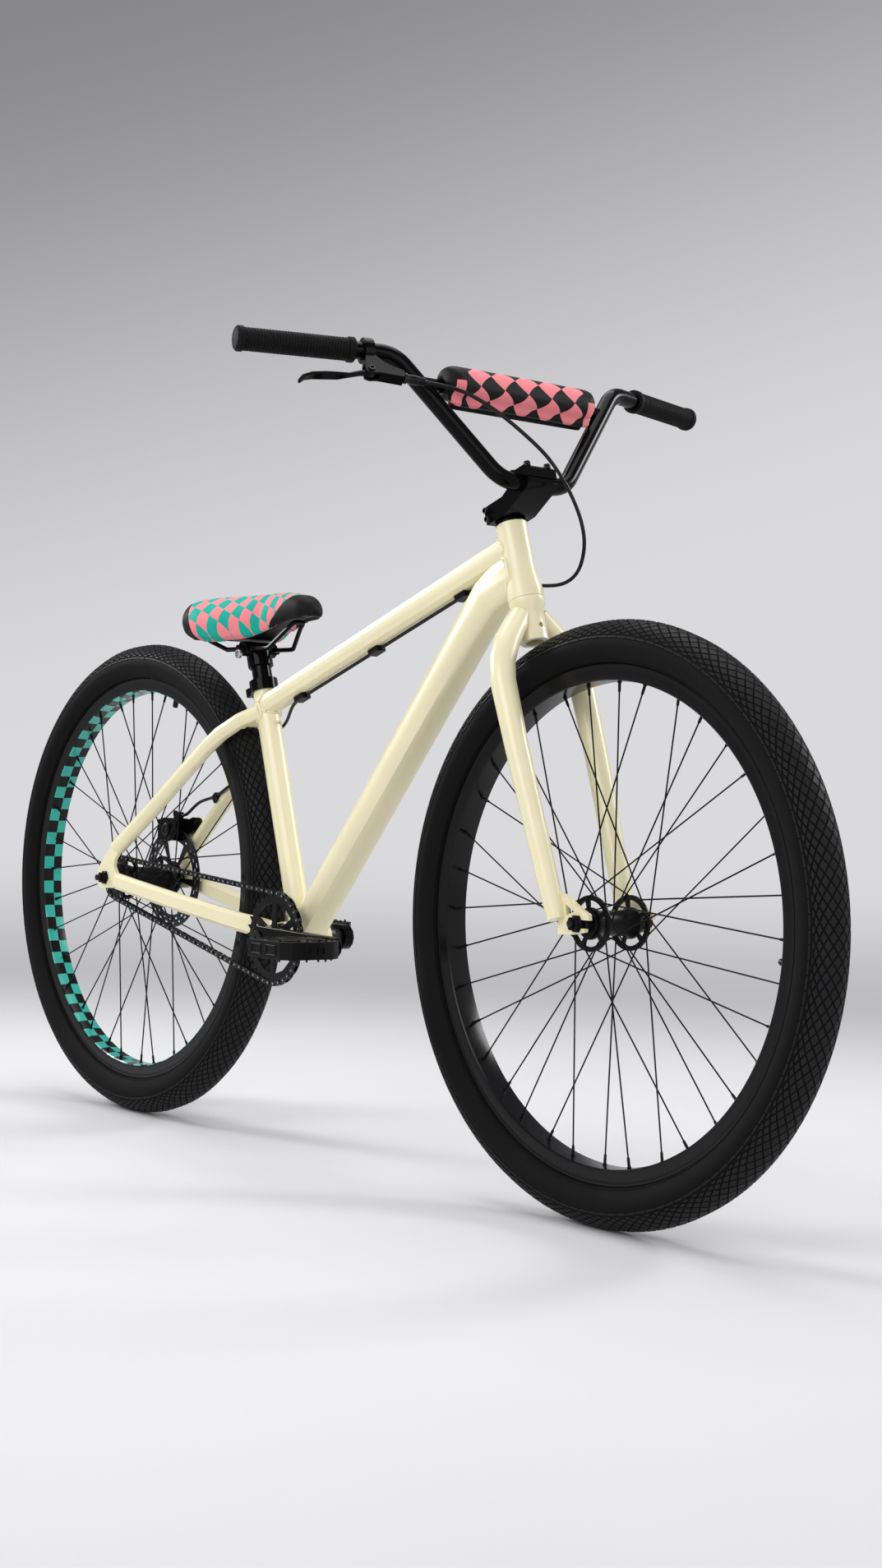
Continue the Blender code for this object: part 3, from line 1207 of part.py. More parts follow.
def bar_corner(side, index):
    """The handlebar's corners, from its middle outwards."""
    corners = [
        (STEM_REACH, BAR_FOOT_HALF_WIDTH, BAR_HEIGHT),
        (STEM_REACH - 0.0060, BAR_HALF_WIDTH - BAR_END_REACH, BAR_TOP),
        (-0.0049, BAR_HALF_WIDTH, BAR_TOP + 0.0156),
    ]
    x, y, z = corners[index]
    return Vector((x, side * y, z))


def bar_path():
    corners = [bar_corner(-1, 2), bar_corner(-1, 1), bar_corner(-1, 0)]
    corners += [bar_corner(1, 0), bar_corner(1, 1), bar_corner(1, 2)]
    return rounded_path(corners, 0.048, 2)


def grip_direction(side):
    return (bar_corner(side, 2) - bar_corner(side, 1)).normalized()


def aligned(direction, forward):
    """A rotation whose Z runs along a direction and whose X leans towards another."""
    z = direction.normalized()
    x = (forward - forward.dot(z) * z).normalized()
    return Matrix((x, z.cross(x), z)).transposed().to_euler()


def add_handlebar(axes):
    steering = axes["steering"]
    path = bar_path()
    outer = [circle(BAR_RADIUS, 10)] * len(path)
    handlebar = add_piece("handlebar", sweep(path, outer, (1, 0, 0)), steering, "gloss_black")

    low, high = bar_corner(1, 0), bar_corner(1, 1)
    t = (CROSSBAR_HEIGHT - low.z) / (high.z - low.z)
    end = low.lerp(high, t)
    crossbar = move(rod(CROSSBAR_RADIUS, -end.y, end.y, 10, "Y"), (end.x, 0, end.z))
    weld(handlebar, add_guide("guide_crossbar", crossbar, steering))
    add_bar_pad(axes, end)

    for side, word in ((-1, "right"), (1, "left")):
        direction = grip_direction(side)
        start = bar_corner(side, 2) - direction * (GRIP_LENGTH - 0.0035)
        axis = empty(f"grip_axis_{word}", start, aligned(direction, Vector((1, 0, 0))), steering)
        bore = bore_round(BAR_RADIUS, 12)
        flange = GRIP_RADIUS + 0.0015
        rings_out = [
            (0, GRIP_LENGTH), (0.0130, GRIP_LENGTH), (flange, GRIP_LENGTH - 0.0025),
            (flange, GRIP_LENGTH - 0.0085), (GRIP_RADIUS, GRIP_LENGTH - 0.0095), (GRIP_RADIUS, 0.0085),
            (flange, 0.0075), (flange, 0.0), (bore, 0.0), (bore, GRIP_LENGTH - 0.0032), (0, GRIP_LENGTH - 0.0032),
        ]
        add_piece(f"grip_{word}", turned(rings_out, 12, closed=False), axis, "rubber")


def pad_section(scale):
    """The pad's round section with its flap hanging from the underside."""
    radius = PAD_RADIUS * scale
    points = circle(radius, 16, math.radians(11.25))
    kept = [(x, z) for x, z in points if not (abs(x) < radius * 0.3 and z < 0)]
    flap = [(-0.0030, -radius * 0.985), (-0.0026, -radius - 0.0085 * scale ** 3),
            (0.0026, -radius - 0.0085 * scale ** 3), (0.0030, -radius * 0.985)]
    bottom = next(i for i, (x, z) in enumerate(kept) if z < 0 and x > 0)
    return kept[:bottom] + flap + kept[bottom:]


def add_bar_pad(axes, crossbar_end):
    """A foam sleeve round the crossbar, thicker in front, with soft round ends."""
    crossbar = Vector((crossbar_end.x, 0, crossbar_end.z))
    half = crossbar_end.y - PAD_END_ROOM
    stations = [(-half, 0.80), (-half + 0.003, 0.93), (-half + 0.010, 1.0), (0, 1.0)]
    stations += [(-y, scale) for y, scale in reversed(stations[:-1])]
    rings = []
    for y, scale in stations:
        forward = min(PAD_FORWARD, PAD_RADIUS * scale - CROSSBAR_RADIUS - PAD_WALL)
        rings.append([crossbar + Vector((x + forward, y, z)) for x, z in pad_section(scale)])
    count = len(rings[0])
    bore_outline = circle(bore_round(CROSSBAR_RADIUS, 18), count, math.radians(11.25))
    bore = [[crossbar + Vector((x, y, z)) for x, z in bore_outline] for y in (-half, half)]
    add_piece("bar_pad", skin(rings, bore), axes["steering"], "pad_cloth")


# Brake lever

def add_brake_lever(axes):
    """The lever's clamp and body on the right of the bar, its adjuster and its blade."""
    direction = grip_direction(-1)
    corner = bar_corner(-1, 1)
    place = corner + direction * ((LEVER_PLACE - abs(corner.y)) / abs(direction.y))
    forward = Vector((0.3534, 0, -0.9216))
    axis = empty("lever_clamp_axis", place, aligned(direction, forward), axes["steering"])
    x, z = LEVER_PIVOT
    outline = [
        (0.0125, 0.0055), (0.0290, 0.0100), (x + 0.0045, z + 0.0070), (x + 0.0075, z + 0.0010),
        (x + 0.0060, z - 0.0090), (0.0500, -0.0380), (0.0380, -0.0395), (0.0290, -0.0180), (0.0125, -0.0055),
    ]
    bracket = add_piece("brake_lever_bracket", plate(outline, [], -0.0075, 0.0075), axis, "gloss_black")
    weld(bracket, add_guide("guide_lever_clamp", rod(0.0165, -0.0060, 0.0060, 14), axis))
    bar_hole = add_guide("guide_lever_bore", rod(bore_round(BAR_RADIUS, 12), -0.02, 0.02, 12), axis)
    slot = add_guide("guide_lever_slot", box((0.0290, -0.0043, z - 0.0110), (0.0600, 0.0043, 0.0300)), axis)
    cut(bracket, bar_hole, slot)
    pin = move(rod(0.0024, -0.0070, 0.0070, 8, "Y"), (x, 0, z))
    weld(bracket, add_guide("guide_lever_pin", pin, axis))

    adjuster_turn = aligned(Vector((0.0040, 0, -0.0315)), Vector((1, 0, 0)))
    adjuster_axis = empty("adjuster_axis", (0.0440, 0, -0.03875), adjuster_turn, axis)
    adjuster = turned([
        (0, -0.0040), (0.0052, -0.0040), (0.0052, 0.0200), (0.0060, 0.0210), (0.0060, 0.0280),
        (0.0045, 0.0300), (0, 0.0300),
    ], 10, closed=False)
    weld(bracket, add_guide("guide_adjuster", adjuster, adjuster_axis))

    pivot = empty("lever_pivot_axis", (x, 0, z), (0, 0, 0), axis)
    path = [
        (0.0005, 0, 0.0030), (0.0035, 0, 0.0160), (0.0085, 0, 0.0300), (0.0115, 0, 0.0450),
        (0.0130, 0, 0.0620), (0.0155, 0, 0.0800), (0.0205, 0, 0.0920), (0.0280, 0, 0.0985),
    ]
    sizes = [
        (0.0076, 0.0080), (0.0074, 0.0060), (0.0076, 0.0050), (0.0125, 0.0046),
        (0.0135, 0.0045), (0.0125, 0.0045), (0.0100, 0.0045), (0.0070, 0.0040),
    ]
    blade = sweep(path, [rounded_box(w, t, 0.0018, 1) for w, t in sizes])
    lever = add_piece("brake_lever_blade", blade, pivot, "gloss_black")
    weld(lever, add_guide("guide_blade_root", rod(0.0062, -0.0039, 0.0039, 10, "Y"), pivot))
    cut(lever, add_guide("guide_blade_bore", rod(0.0024 + CLEARANCE, -0.02, 0.02, 8, "Y"), pivot))
    return adjuster_axis


# Rear brake

def add_caliper(axes):
    """The caliper over the disc, its adapter on the frame's tab and the arm that the cable pulls."""
    axis = axes["rear_wheel"]
    body = box((-0.0320, 0.0405, 0.0600), (0.0220, 0.0640, 0.0960))
    caliper = add_piece("caliper_body", body, axis, "black_metal")
    stop = box((0.0060, 0.0505, 0.0900), (0.0140, 0.0600, 0.1060))
    weld(caliper, add_guide("guide_cable_stop", stop, axis))
    slot_half = 0.0024
    slot_low = (-0.0500, DISC_OFFSET - slot_half, 0.0500)
    slot = box(slot_low, (0.0500, DISC_OFFSET + slot_half, DISC_RADIUS + 0.0030))
    chamfer = move(turn(box((-0.02, 0.03, -0.02), (0.02, 0.08, 0.02)), 45, "Y"), (-0.0330, 0, 0.1100))
    cut(caliper, add_guide("guide_disc_slot", slot, axis), add_guide("guide_caliper_corner", chamfer, axis))
    for side, word in ((-1, "inner"), (1, "outer")):
        near = DISC_OFFSET + side * (DISC_THICKNESS / 2 + CLEARANCE)
        start, end = sorted((near, DISC_OFFSET + side * (slot_half + 0.0010)))
        pad = box((-0.0180, start, 0.0630), (0.0080, end, 0.0780))
        weld(caliper, add_guide(f"guide_brake_pad_{word}", pad, axis))

    outline = [
        (0.0223, 0.0705), (0.0400, 0.0745), (0.0560, 0.0855), (0.0590, 0.0930),
        (0.0520, 0.0985), (0.0400, 0.0985), (0.0223, 0.0930),
    ]
    adapter_end = REAR_HUB_WIDTH / 2 - 0.0002
    adapter_body = plate(outline, [], adapter_end - 0.0075, adapter_end)
    adapter = add_piece("caliper_adapter", adapter_body, axis, "black_metal")
    bolt = rod(0.0028, adapter_end - 0.0100, adapter_end + 0.0085, 8, "Y")
    move(bolt, (TAB_HOLE[0], 0, TAB_HOLE[1]))
    weld(adapter, add_guide("guide_adapter_bolt", bolt, axis))

    arm_axis = empty("caliper_arm_axis", (-0.0060, 0.0643, 0.0770), (0, 0, 0), axis)
    shape = link_outline(0.0300, 0.0085, 0.0050, 5)
    arm = turn(plate(shape, [], 0.0, 0.0045), -120, "Y")
    add_piece("caliper_arm", arm, arm_axis, "black_metal")


# Seat

SADDLE_STATIONS = (
    (0.1480, 0.0080, 0.0500, 0.0470), (0.1430, 0.0170, 0.0640, 0.0400), (0.1300, 0.0225, 0.0725, 0.0375),
    (0.1100, 0.0245, 0.0755, 0.0350), (0.0800, 0.0270, 0.0755, 0.0285), (0.0450, 0.0330, 0.0748, 0.0160),
    (0.0100, 0.0460, 0.0740, 0.0060), (-0.0300, 0.0610, 0.0735, 0.0030), (-0.0700, 0.0710, 0.0735, 0.0060),
    (-0.1000, 0.0720, 0.0735, 0.0110), (-0.1180, 0.0620, 0.0715, 0.0150), (-0.1280, 0.0420, 0.0640, 0.0230),
)


def underside_recess(top, bottom):
    return min(0.0100, 0.25 * (top - bottom))


def cushion_section(half_width, top, bottom):
    """Hollowed underneath, drawn in at the foot, full at the sides and crowned on top."""
    height = top - bottom
    lift = underside_recess(top, bottom) / height
    right = [
        (0.58, lift), (0.66, 0.0), (0.92, 0.10), (1.0, 0.36),
        (0.97, 0.60), (0.82, 0.82), (0.55, 0.95), (0.20, 1.0),
    ]
    outline = [(x * half_width, bottom + z * height) for x, z in right]
    return outline + [(-y, z) for y, z in reversed(outline)]


def rail_corners(side):
    """A rail's corners: from under the nose, straight through the clamp and up to the tail."""
    y = side * RAIL_SPACING / 2
    return [
        Vector((0.1050, side * 0.0088, 0.0335)), Vector((0.0950, side * 0.0100, 0.0270)),
        Vector((0.0600, y, -RAIL_DROP)), Vector((-0.0500, y, -RAIL_DROP)), Vector((-0.0880, y * 1.3, 0.0099)),
    ]


def add_saddle(axes):
    saddle = axes["saddle"]
    cushion_rings, base_rings = [], []
    for x, half_width, top, bottom in SADDLE_STATIONS:
        cushion_rings.append([Vector((x, y, z)) for y, z in cushion_section(half_width, top, bottom)])
    for x, half_width, top, bottom in SADDLE_STATIONS[1:-1]:
        inset = half_width * 0.53
        high = bottom + underside_recess(top, bottom) - CLEARANCE
        low = high - 0.0050
        section = [(inset, high), (inset * 0.9, low), (-inset * 0.9, low), (-inset, high)]
        base_rings.append([Vector((x, y, z)) for y, z in section])
    add_piece("saddle_cushion", skin(cushion_rings), saddle, "checker_cloth", 60)
    add_piece("saddle_base", skin(base_rings), saddle, "plastic")

    corners = [*reversed(rail_corners(-1)), *rail_corners(1)]
    path = rounded_path(corners, 0.0085, 2)
    rails = sweep(path, [circle(RAIL_RADIUS, 8)] * len(path), (0, 0, 1))
    add_piece("saddle_rails", rails, saddle, "black_metal")
    wide = sweep(path, [circle(RAIL_RADIUS + CLEARANCE, 8)] * len(path), (0, 0, 1))
    rail_guide = add_guide("guide_rails", wide, saddle)

    clamp_body = move(rod(CLAMP_RADIUS, -0.0285, 0.0285, 10, "Y"), (0, 0, -RAIL_DROP))
    clamp = add_piece("saddle_clamp", clamp_body, saddle, "satin_black")
    bolt = move(rod(0.0060, -0.0370, 0.0370, 6, "Y"), (0, 0, -RAIL_DROP))
    weld(clamp, add_guide("guide_clamp_bolt", bolt, saddle))
    post_top = SEATPOST_SHOWN - CLAMP_RADIUS - RAIL_DROP - 0.0015
    collar = rod(0.0190, post_top - 0.0150, post_top + 0.0080, 12)
    weld(clamp, add_guide("guide_clamp_collar", collar, axes["seatpost"]))
    post_guide = rod(SEATPOST_RADIUS + CLEARANCE, -0.05, post_top + CLEARANCE, 16)
    cut(clamp, add_guide("guide_post", post_guide, axes["seatpost"]), rail_guide)

    wall = 0.0025
    post = turned([
        (0, post_top), (SEATPOST_RADIUS, post_top), (SEATPOST_RADIUS, -SEATPOST_INSERTION),
        (SEATPOST_RADIUS - wall, -SEATPOST_INSERTION), (SEATPOST_RADIUS - wall, post_top - wall),
        (0, post_top - wall),
    ], 16, closed=False)
    add_piece("seatpost", post, axes["seatpost"], "satin_black")


# Brake cable

def under_top_tube(share, side=0.0, beyond=0.0):
    """A place on the cable's line below the top tube, by its share of the tube's length."""
    along = TOP_TUBE_FRONT - TOP_TUBE_REAR
    slope = along.normalized()
    down = Vector((slope.z, 0, -slope.x))
    half = blend(*TOP_TUBE_HEIGHT, share) / 2
    return TOP_TUBE_REAR + along * share + slope * beyond + down * (half + CABLE_DROP) + Vector((0, side, 0))


def add_cable(name, points, parent):
    """A cable as a curve with a round bevel, through a smooth route's points."""
    curve = bpy.data.curves.new(name, "CURVE")
    curve.dimensions = "3D"
    curve.bevel_depth = CABLE_RADIUS
    curve.bevel_resolution = 2
    curve.use_fill_caps = True
    curve.render_resolution_u = 0
    spline = curve.splines.new("POLY")
    spline.points.add(len(points) - 1)
    for target, point in zip(spline.points, points):
        target.co = (*point, 1.0)
    curve.materials.append(material_named("rubber"))
    item = bpy.data.objects.new(name, curve)
    item.parent = parent
    bpy.context.scene.collection.objects.link(item)
    return item


def stay_cable_places():
    """Where the cable passes the seat tube and each bend of the left stay, its last place in the clip."""
    stay = seatstay_path(1)
    beside = [
        (0, (0.0477, -0.0050, 0.0013)), (0, (0.0277, 0.0055, -0.0107)), (0, (0.0067, 0.0125, -0.0207)),
        (0, (-0.0103, 0.0155, -0.0252)), (1, (0.0050, 0.0020, -0.0165)), (2, (0.0090, -0.0005, -0.0125)),
        (3, (0.0090, -0.0010, -0.0125)), (4, (0.0064, -0.0115, -0.0090)),
    ]
    places = [stay[i] + Vector(offset) for i, offset in beside]
    places.append((stay[4] + stay[5]) / 2 + Vector((0, -0.0158, 0)))
    places.append(stay[5] + Vector((0.0026, -0.0115, 0.0165)))
    return places


def frame_cable_route():
    """From the front clip, below the top tube, past the seat tube and down the left stay to the caliper."""
    rear, middle, front = (CLIP_PLACES[word] for word in ("rear", "middle", "front"))
    straight = [
        under_top_tube(front, beyond=CLIP_HALF_LENGTH), under_top_tube((front + middle) / 2),
        under_top_tube(middle), under_top_tube((middle + rear) / 2),
    ]
    bent = [under_top_tube(rear), under_top_tube(rear, beyond=-0.020), *stay_cable_places()]
    stop = REAR_AXLE + Vector((0.0140 + CLEARANCE, 0.0552, 0.1010))
    bent += [REAR_AXLE + Vector((0.0680, 0.0540, 0.1240)), stop + Vector((0.0150, 0, 0)), stop]
    return straight + smooth_route(bent, 0.028)


def add_cable_guide(axes):
    """The room that the cable takes in its clips."""
    path = [under_top_tube(CLIP_PLACES["front"], beyond=2 * CLIP_HALF_LENGTH)] + frame_cable_route()[1:]
    sections = [circle(CABLE_RADIUS + 2 * CLEARANCE, 8)] * len(path)
    return add_guide("guide_brake_cable", sweep(path, sections, (0, 0, 1)), axes["frame"])


# How far between its two ends each bend of the free loop lies, and its sag, by the distance between the ends
LOOP_BENDS = (
    (0.07, (0.0479, 0.1212, 0.0437)), (0.14, (0.1264, 0.2137, 0.0320)), (0.21, (0.2081, 0.3061, -0.0146)),
    (0.29, (0.2797, 0.3605, -0.0468)), (0.36, (0.3161, 0.4040, -0.0862)), (0.43, (0.3469, 0.4312, -0.1452)),
    (0.50, (0.3737, 0.4258, -0.2248)), (0.57, (0.3689, 0.3876, -0.2717)), (0.64, (0.3282, 0.3332, -0.2667)),
    (0.71, (0.2813, 0.2722, -0.2206)), (0.79, (0.2331, 0.2091, -0.1529)), (0.86, (0.1558, 0.1677, -0.0963)),
    (0.93, (0.0785, 0.1165, -0.0511)),
)


def add_cables(axes, adjuster_axis, cable_guide):
    bpy.context.view_layer.update()
    exit_place = adjuster_axis.matrix_world @ Vector((0, 0, 0.0300 + CLEARANCE))
    exit_direction = (adjuster_axis.matrix_world.to_3x3() @ Vector((0, 0, 1))).normalized()
    front = CLIP_PLACES["front"]
    past = CLIP_HALF_LENGTH
    landing = under_top_tube(front, beyond=past + 0.012, side=0.0030)
    span = (landing - exit_place).length
    loop = [exit_place, exit_place + exit_direction * 0.012]
    loop += [exit_place.lerp(landing, share) + Vector(sag) * span for share, sag in LOOP_BENDS]
    loop += [under_top_tube(front, beyond=past + 0.031, side=0.0200), landing]
    loop = smooth_route(loop, 0.028)
    loop += [under_top_tube(front, beyond=past + 0.0060), under_top_tube(front, beyond=past + CLEARANCE)]
    add_cable("brake_cable_loop", loop, axes["frame"])
    add_cable("brake_cable", frame_cable_route(), axes["frame"])

    stay = seatstay_path(1)
    slope = math.atan2(stay[4].z - stay[5].z, stay[4].x - stay[5].x)
    clip_place = empty("stay_clip_place", stay_cable_places()[-1], (0, -slope, 0), axes["frame"])
    clip_body = box((-0.0060, -0.0045, -0.0080), (0.0060, 0.0090, 0.0045))
    clip = add_piece("stay_cable_clip", clip_body, clip_place, "plastic")
    cut(clip, cable_guide, bpy.data.objects["guide_seatstay_left"])


def build_bike():
    axes = add_axes()
    add_head_tube(axes)
    seat_guide, shell_guide = add_main_tubes(axes)
    add_rear_triangle(axes, seat_guide, shell_guide)
    add_seat_clamp(axes)
    cable_guide = add_cable_guide(axes)
    add_cable_clips(axes, cable_guide)
    add_bottom_bracket(axes)
    add_cranks(axes)
    add_pedals(axes)
    ring_phase, cog_phase = add_chain(axes)
    add_sprockets(axes, ring_phase, cog_phase)
    add_wheel(axes, "front", math.radians(95))
    add_wheel(axes, "rear", math.radians(15))
    add_axle(axes, "front", FRONT_HUB_WIDTH, DROPOUT_THICKNESS, 0.0690, (0.0340, 0.0340))
    add_axle(axes, "rear", REAR_HUB_WIDTH, DROPOUT_THICKNESS, 0.0900, (0.0510, 0.0495))
    add_brake_disc(axes)
    add_fork(axes)
    add_stem(axes)
    add_handlebar(axes)
    adjuster_axis = add_brake_lever(axes)
    add_caliper(axes)
    add_saddle(axes)
    add_cables(axes, adjuster_axis, cable_guide)


def main():
    remove_everything()
    build_bike()


if __name__ == "__main__":
    main()
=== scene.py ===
"""Dresses the wheelie bike: tread, welds, cloth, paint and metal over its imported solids."""
import json
import math

import bmesh
import bpy
from mathutils import Matrix, Vector
from mathutils.bvhtree import BVHTree

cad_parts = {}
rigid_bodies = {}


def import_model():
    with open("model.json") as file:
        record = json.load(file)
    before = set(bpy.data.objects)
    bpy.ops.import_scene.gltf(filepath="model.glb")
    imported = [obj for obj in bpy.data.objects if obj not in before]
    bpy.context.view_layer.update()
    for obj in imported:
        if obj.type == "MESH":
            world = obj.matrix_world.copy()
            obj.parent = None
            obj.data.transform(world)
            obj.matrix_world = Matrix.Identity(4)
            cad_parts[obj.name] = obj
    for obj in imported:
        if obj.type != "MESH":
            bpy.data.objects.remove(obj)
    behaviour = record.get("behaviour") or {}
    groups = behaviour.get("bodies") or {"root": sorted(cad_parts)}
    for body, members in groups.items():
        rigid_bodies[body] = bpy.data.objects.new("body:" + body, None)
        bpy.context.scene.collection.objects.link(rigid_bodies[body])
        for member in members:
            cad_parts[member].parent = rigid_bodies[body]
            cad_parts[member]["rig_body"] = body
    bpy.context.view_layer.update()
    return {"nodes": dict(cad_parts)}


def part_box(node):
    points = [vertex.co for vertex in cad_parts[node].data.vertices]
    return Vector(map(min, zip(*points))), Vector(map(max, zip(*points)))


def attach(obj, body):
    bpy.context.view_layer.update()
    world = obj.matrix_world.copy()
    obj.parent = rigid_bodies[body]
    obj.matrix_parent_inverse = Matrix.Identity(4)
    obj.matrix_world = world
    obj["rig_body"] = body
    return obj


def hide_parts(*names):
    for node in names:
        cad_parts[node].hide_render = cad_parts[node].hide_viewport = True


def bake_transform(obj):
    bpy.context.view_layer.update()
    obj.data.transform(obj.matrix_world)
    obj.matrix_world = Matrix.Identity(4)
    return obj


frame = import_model()

bl_info = {
    "name": "Wheelie bike",
    "version": (1, 0, 0),
    "blender": (4, 5, 0),
    "location": "View3D > Sidebar > Wheelie bike",
    "description": "Builds the visible surfaces of a wheelie bike over its solids",
    "category": "Object",
}

X_AXIS, Y_AXIS, Z_AXIS = Vector((1, 0, 0)), Vector((0, 1, 0)), Vector((0, 0, 1))
SIDES = ((-1, "right"), (1, "left"))

# Places and sizes of the bike, in metres, as in its solids
STEER = Matrix((
    (0.943801, 0.0, -0.330514, 0.365792),
    (0.0, 1.0, 0.0, 0.0),
    (0.330514, 0.0, 0.943801, 0.775440),
    (0.0, 0.0, 0.0, 1.0),
))
AXLES = {"front": Vector((0.5425, 0.0, 0.3725)), "rear": Vector((-0.5425, 0.0, 0.3725))}
BRACKET = Vector((-0.103897, 0.0, 0.308))
SEAT_UP = Vector((-0.312335, 0.0, 0.949972))
SADDLE = Vector((-0.2437, 0.0, 0.733))
TYRE_RADIUS, TYRE_SECTION = 0.3725, 0.0315
RIM_OUTER, RIM_INNER, RIM_HALF = 0.3170, 0.2958, 0.0175
FLANGE_RADIUS, FLANGE_HALF = 0.0345, 0.033
DISC_OFFSET, DISC_HALF = 0.052, 0.0009
SPOKES_PER_SIDE, SPOKE_LEAN = 18, math.radians(60)
CHAIN_PITCH, CHAIN_LINKS, RING_TEETH, COG_TEETH = 0.0127, 94, 32, 16
BAR_CORNERS = ((0.0535, 0.0537, 0.139), (0.0475, 0.1870, 0.2975), (-0.0049, 0.3844, 0.3131))
BAR_BEND, BAR_RADIUS, CROSSBAR_HEIGHT, CROSSBAR_RADIUS = 0.048, 0.0111, 0.2624, 0.008
GRIP_LENGTH, GRIP_RADIUS, GRIP_RIBS = 0.154, 0.0145, 34
CRANK_LENGTH, PEDAL_NEAR, PEDAL_HALF_HEIGHT = 0.170, 0.0865, 0.012
PAD_CENTRE = STEER @ Vector((0.0540, 0.0, CROSSBAR_HEIGHT))
LEVER_PLACE, LEVER_FORWARD = 0.2225, Vector((0.3534, 0, -0.9216))
TREAD_STEPS, RIM_STEPS, RIM_SQUARES = 130, 180, 90

# The camera, fitted to both wheels in the photograph: metres, radians and pixels
CAMERA_PLACE = Vector((2.5520, -1.8923, 0.5307))
CAMERA_YAW, CAMERA_PITCH, CAMERA_ROLL = 2.4634, 0.0019, 0.0333
FOCAL_PIXELS, PHOTO_PIXELS, SENSOR_MM = 2736.67, 1908, 36.0

# Vertices closer than this are one; copies of solids are coarser, and their faces this flat are one
MERGE, SOLID_MERGE, FLAT = 1e-6, 1e-5, math.radians(0.4)
# Paint rounds an edge more than machining does
PAINT_ROUNDING = 1.4


def linear(colour):
    """An sRGB hex colour as linear red, green, blue and alpha; a linear colour stays as it is."""
    if not isinstance(colour, str):
        return tuple(colour)
    channels = [int(colour[i:i + 2], 16) / 255 for i in (0, 2, 4)]
    return tuple(c / 12.92 if c <= 0.04045 else ((c + 0.055) / 1.055) ** 2.4 for c in channels) + (1.0,)


def colour_setting(name, description, colour):
    return bpy.props.FloatVectorProperty(
        name=name, description=description, default=linear(colour), size=4, subtype="COLOR",
        min=0.0, max=1.0)


def length_setting(name, description, metres):
    return bpy.props.FloatProperty(
        name=name, description=description, default=metres, min=0.0, unit="LENGTH",
        subtype="DISTANCE", precision=5)


class WheelieBikeSettings(bpy.types.PropertyGroup):
    """Sizes and colours of the bike's finish."""
    paint: colour_setting("Frame paint", "Pearl paint of the frame and fork", "EFE6BF")
    teal: colour_setting("Teal", "Teal of the saddle's checks and the rear rim's squares", "17A898")
    pink: colour_setting("Pink", "Pink of the saddle's checks and the bar pad's diamonds", "F28990")
    black_cloth: colour_setting("Black cloth", "Saddle panels and bar pad ends", "0C0C0D")
    rubber: colour_setting("Tyre rubber", "Moulded rubber of both tyres", "131314")
    tread_groove: length_setting("Tread depth", "Depth of the grooves between the tread's scales", 0.0011)
    tread_gap: length_setting("Tread gap", "Half the width of a groove of the tread", 0.0010)
    weld_radius: length_setting("Weld bead", "Radius of the weld beads at the frame's joints", 0.0026)
    spoke_radius: length_setting("Spoke", "Radius of a spoke", 0.00105)
    edge_round: length_setting("Edge rounding", "Rounding of machined edges", 0.0005)


def settings():
    return bpy.context.scene.wheelie_bike


# Materials

def node(tree, kind, values=None, links=None):
    """Adds one shader node, sets its values and links its inputs."""
    made = tree.nodes.new("ShaderNode" + kind)
    for key, value in (values or {}).items():
        if isinstance(key, str) and hasattr(made, key):
            setattr(made, key, value)
        else:
            made.inputs[key].default_value = value
    for key, socket in (links or {}).items():
        tree.links.new(socket, made.inputs[key])
    return made


def surface(name, colour, roughness, metallic=0.0, coat=0.0, coat_roughness=0.05, sheen=0.0,
            ior=1.5, specular=0.5):
    """A material with its shader and its object coordinates, ready for its pattern."""
    made = bpy.data.materials.new(name)
    made.use_nodes = True
    tree = made.node_tree
    shader = tree.nodes["Principled BSDF"]
    values = {
        "Base Color": linear(colour), "Roughness": roughness, "Metallic": metallic, "Coat Weight": coat,
        "Coat Roughness": coat_roughness, "Sheen Weight": sheen, "Specular IOR Level": specular,
    }
    if metallic < 0.5:
        values["IOR"] = ior
    for key, value in values.items():
        shader.inputs[key].default_value = value
    made.diffuse_color = linear(colour)
    place = node(tree, "TexCoord").outputs["Object"]
    return made, tree, shader, place


def pattern(tree, place, size_mm, detail=3.0):
    """Noise, or cells where the detail is zero, with patches about this many millimetres across."""
    values = {"Scale": 1000.0 / size_mm}
    if not detail:
        return node(tree, "TexVoronoi", values, {"Vector": place}).outputs["Distance"]
    values["Detail"] = detail
    return node(tree, "TexNoise", values, {"Vector": place}).outputs["Fac"]


def vary_colour(tree, shader, amount, low, high):
    """Mixes two colours by a pattern into the shader's base colour."""
    mixed = node(tree, "Mix", {"data_type": "RGBA", 6: linear(low), 7: linear(high)}, {0: amount})
    tree.links.new(mixed.outputs[2], shader.inputs["Base Color"])


def vary_roughness(tree, shader, amount, low, high):
    spread = node(tree, "MapRange", {"To Min": low, "To Max": high}, {"Value": amount})
    tree.links.new(spread.outputs["Result"], shader.inputs["Roughness"])


def emboss(tree, shader, height, depth_mm, strength=1.0):
    """Raises the surface by a pattern, by this many millimetres."""
    bump = node(tree, "Bump", {"Distance": depth_mm / 1000, "Strength": strength}, {"Height": height})
    tree.links.new(bump.outputs["Normal"], shader.inputs["Normal"])


def shade(colour, share):
    return (colour[0] * share, colour[1] * share, colour[2] * share, 1.0)


def patterned(name, colour, roughness, colours, roughnesses=None, relief=None, **finish):
    """A material that varies by patterns, each a size in mm, a detail and two values."""
    made, tree, shader, place = surface(name, colour, roughness, **finish)
    *size, low, high = colours
    vary_colour(tree, shader, pattern(tree, place, *size), low, high)
    if roughnesses:
        *size, low, high = roughnesses
        vary_roughness(tree, shader, pattern(tree, place, *size), low, high)
    if relief:
        *size, depth_mm, strength = relief
        emboss(tree, shader, pattern(tree, place, *size), depth_mm, strength)
    return made


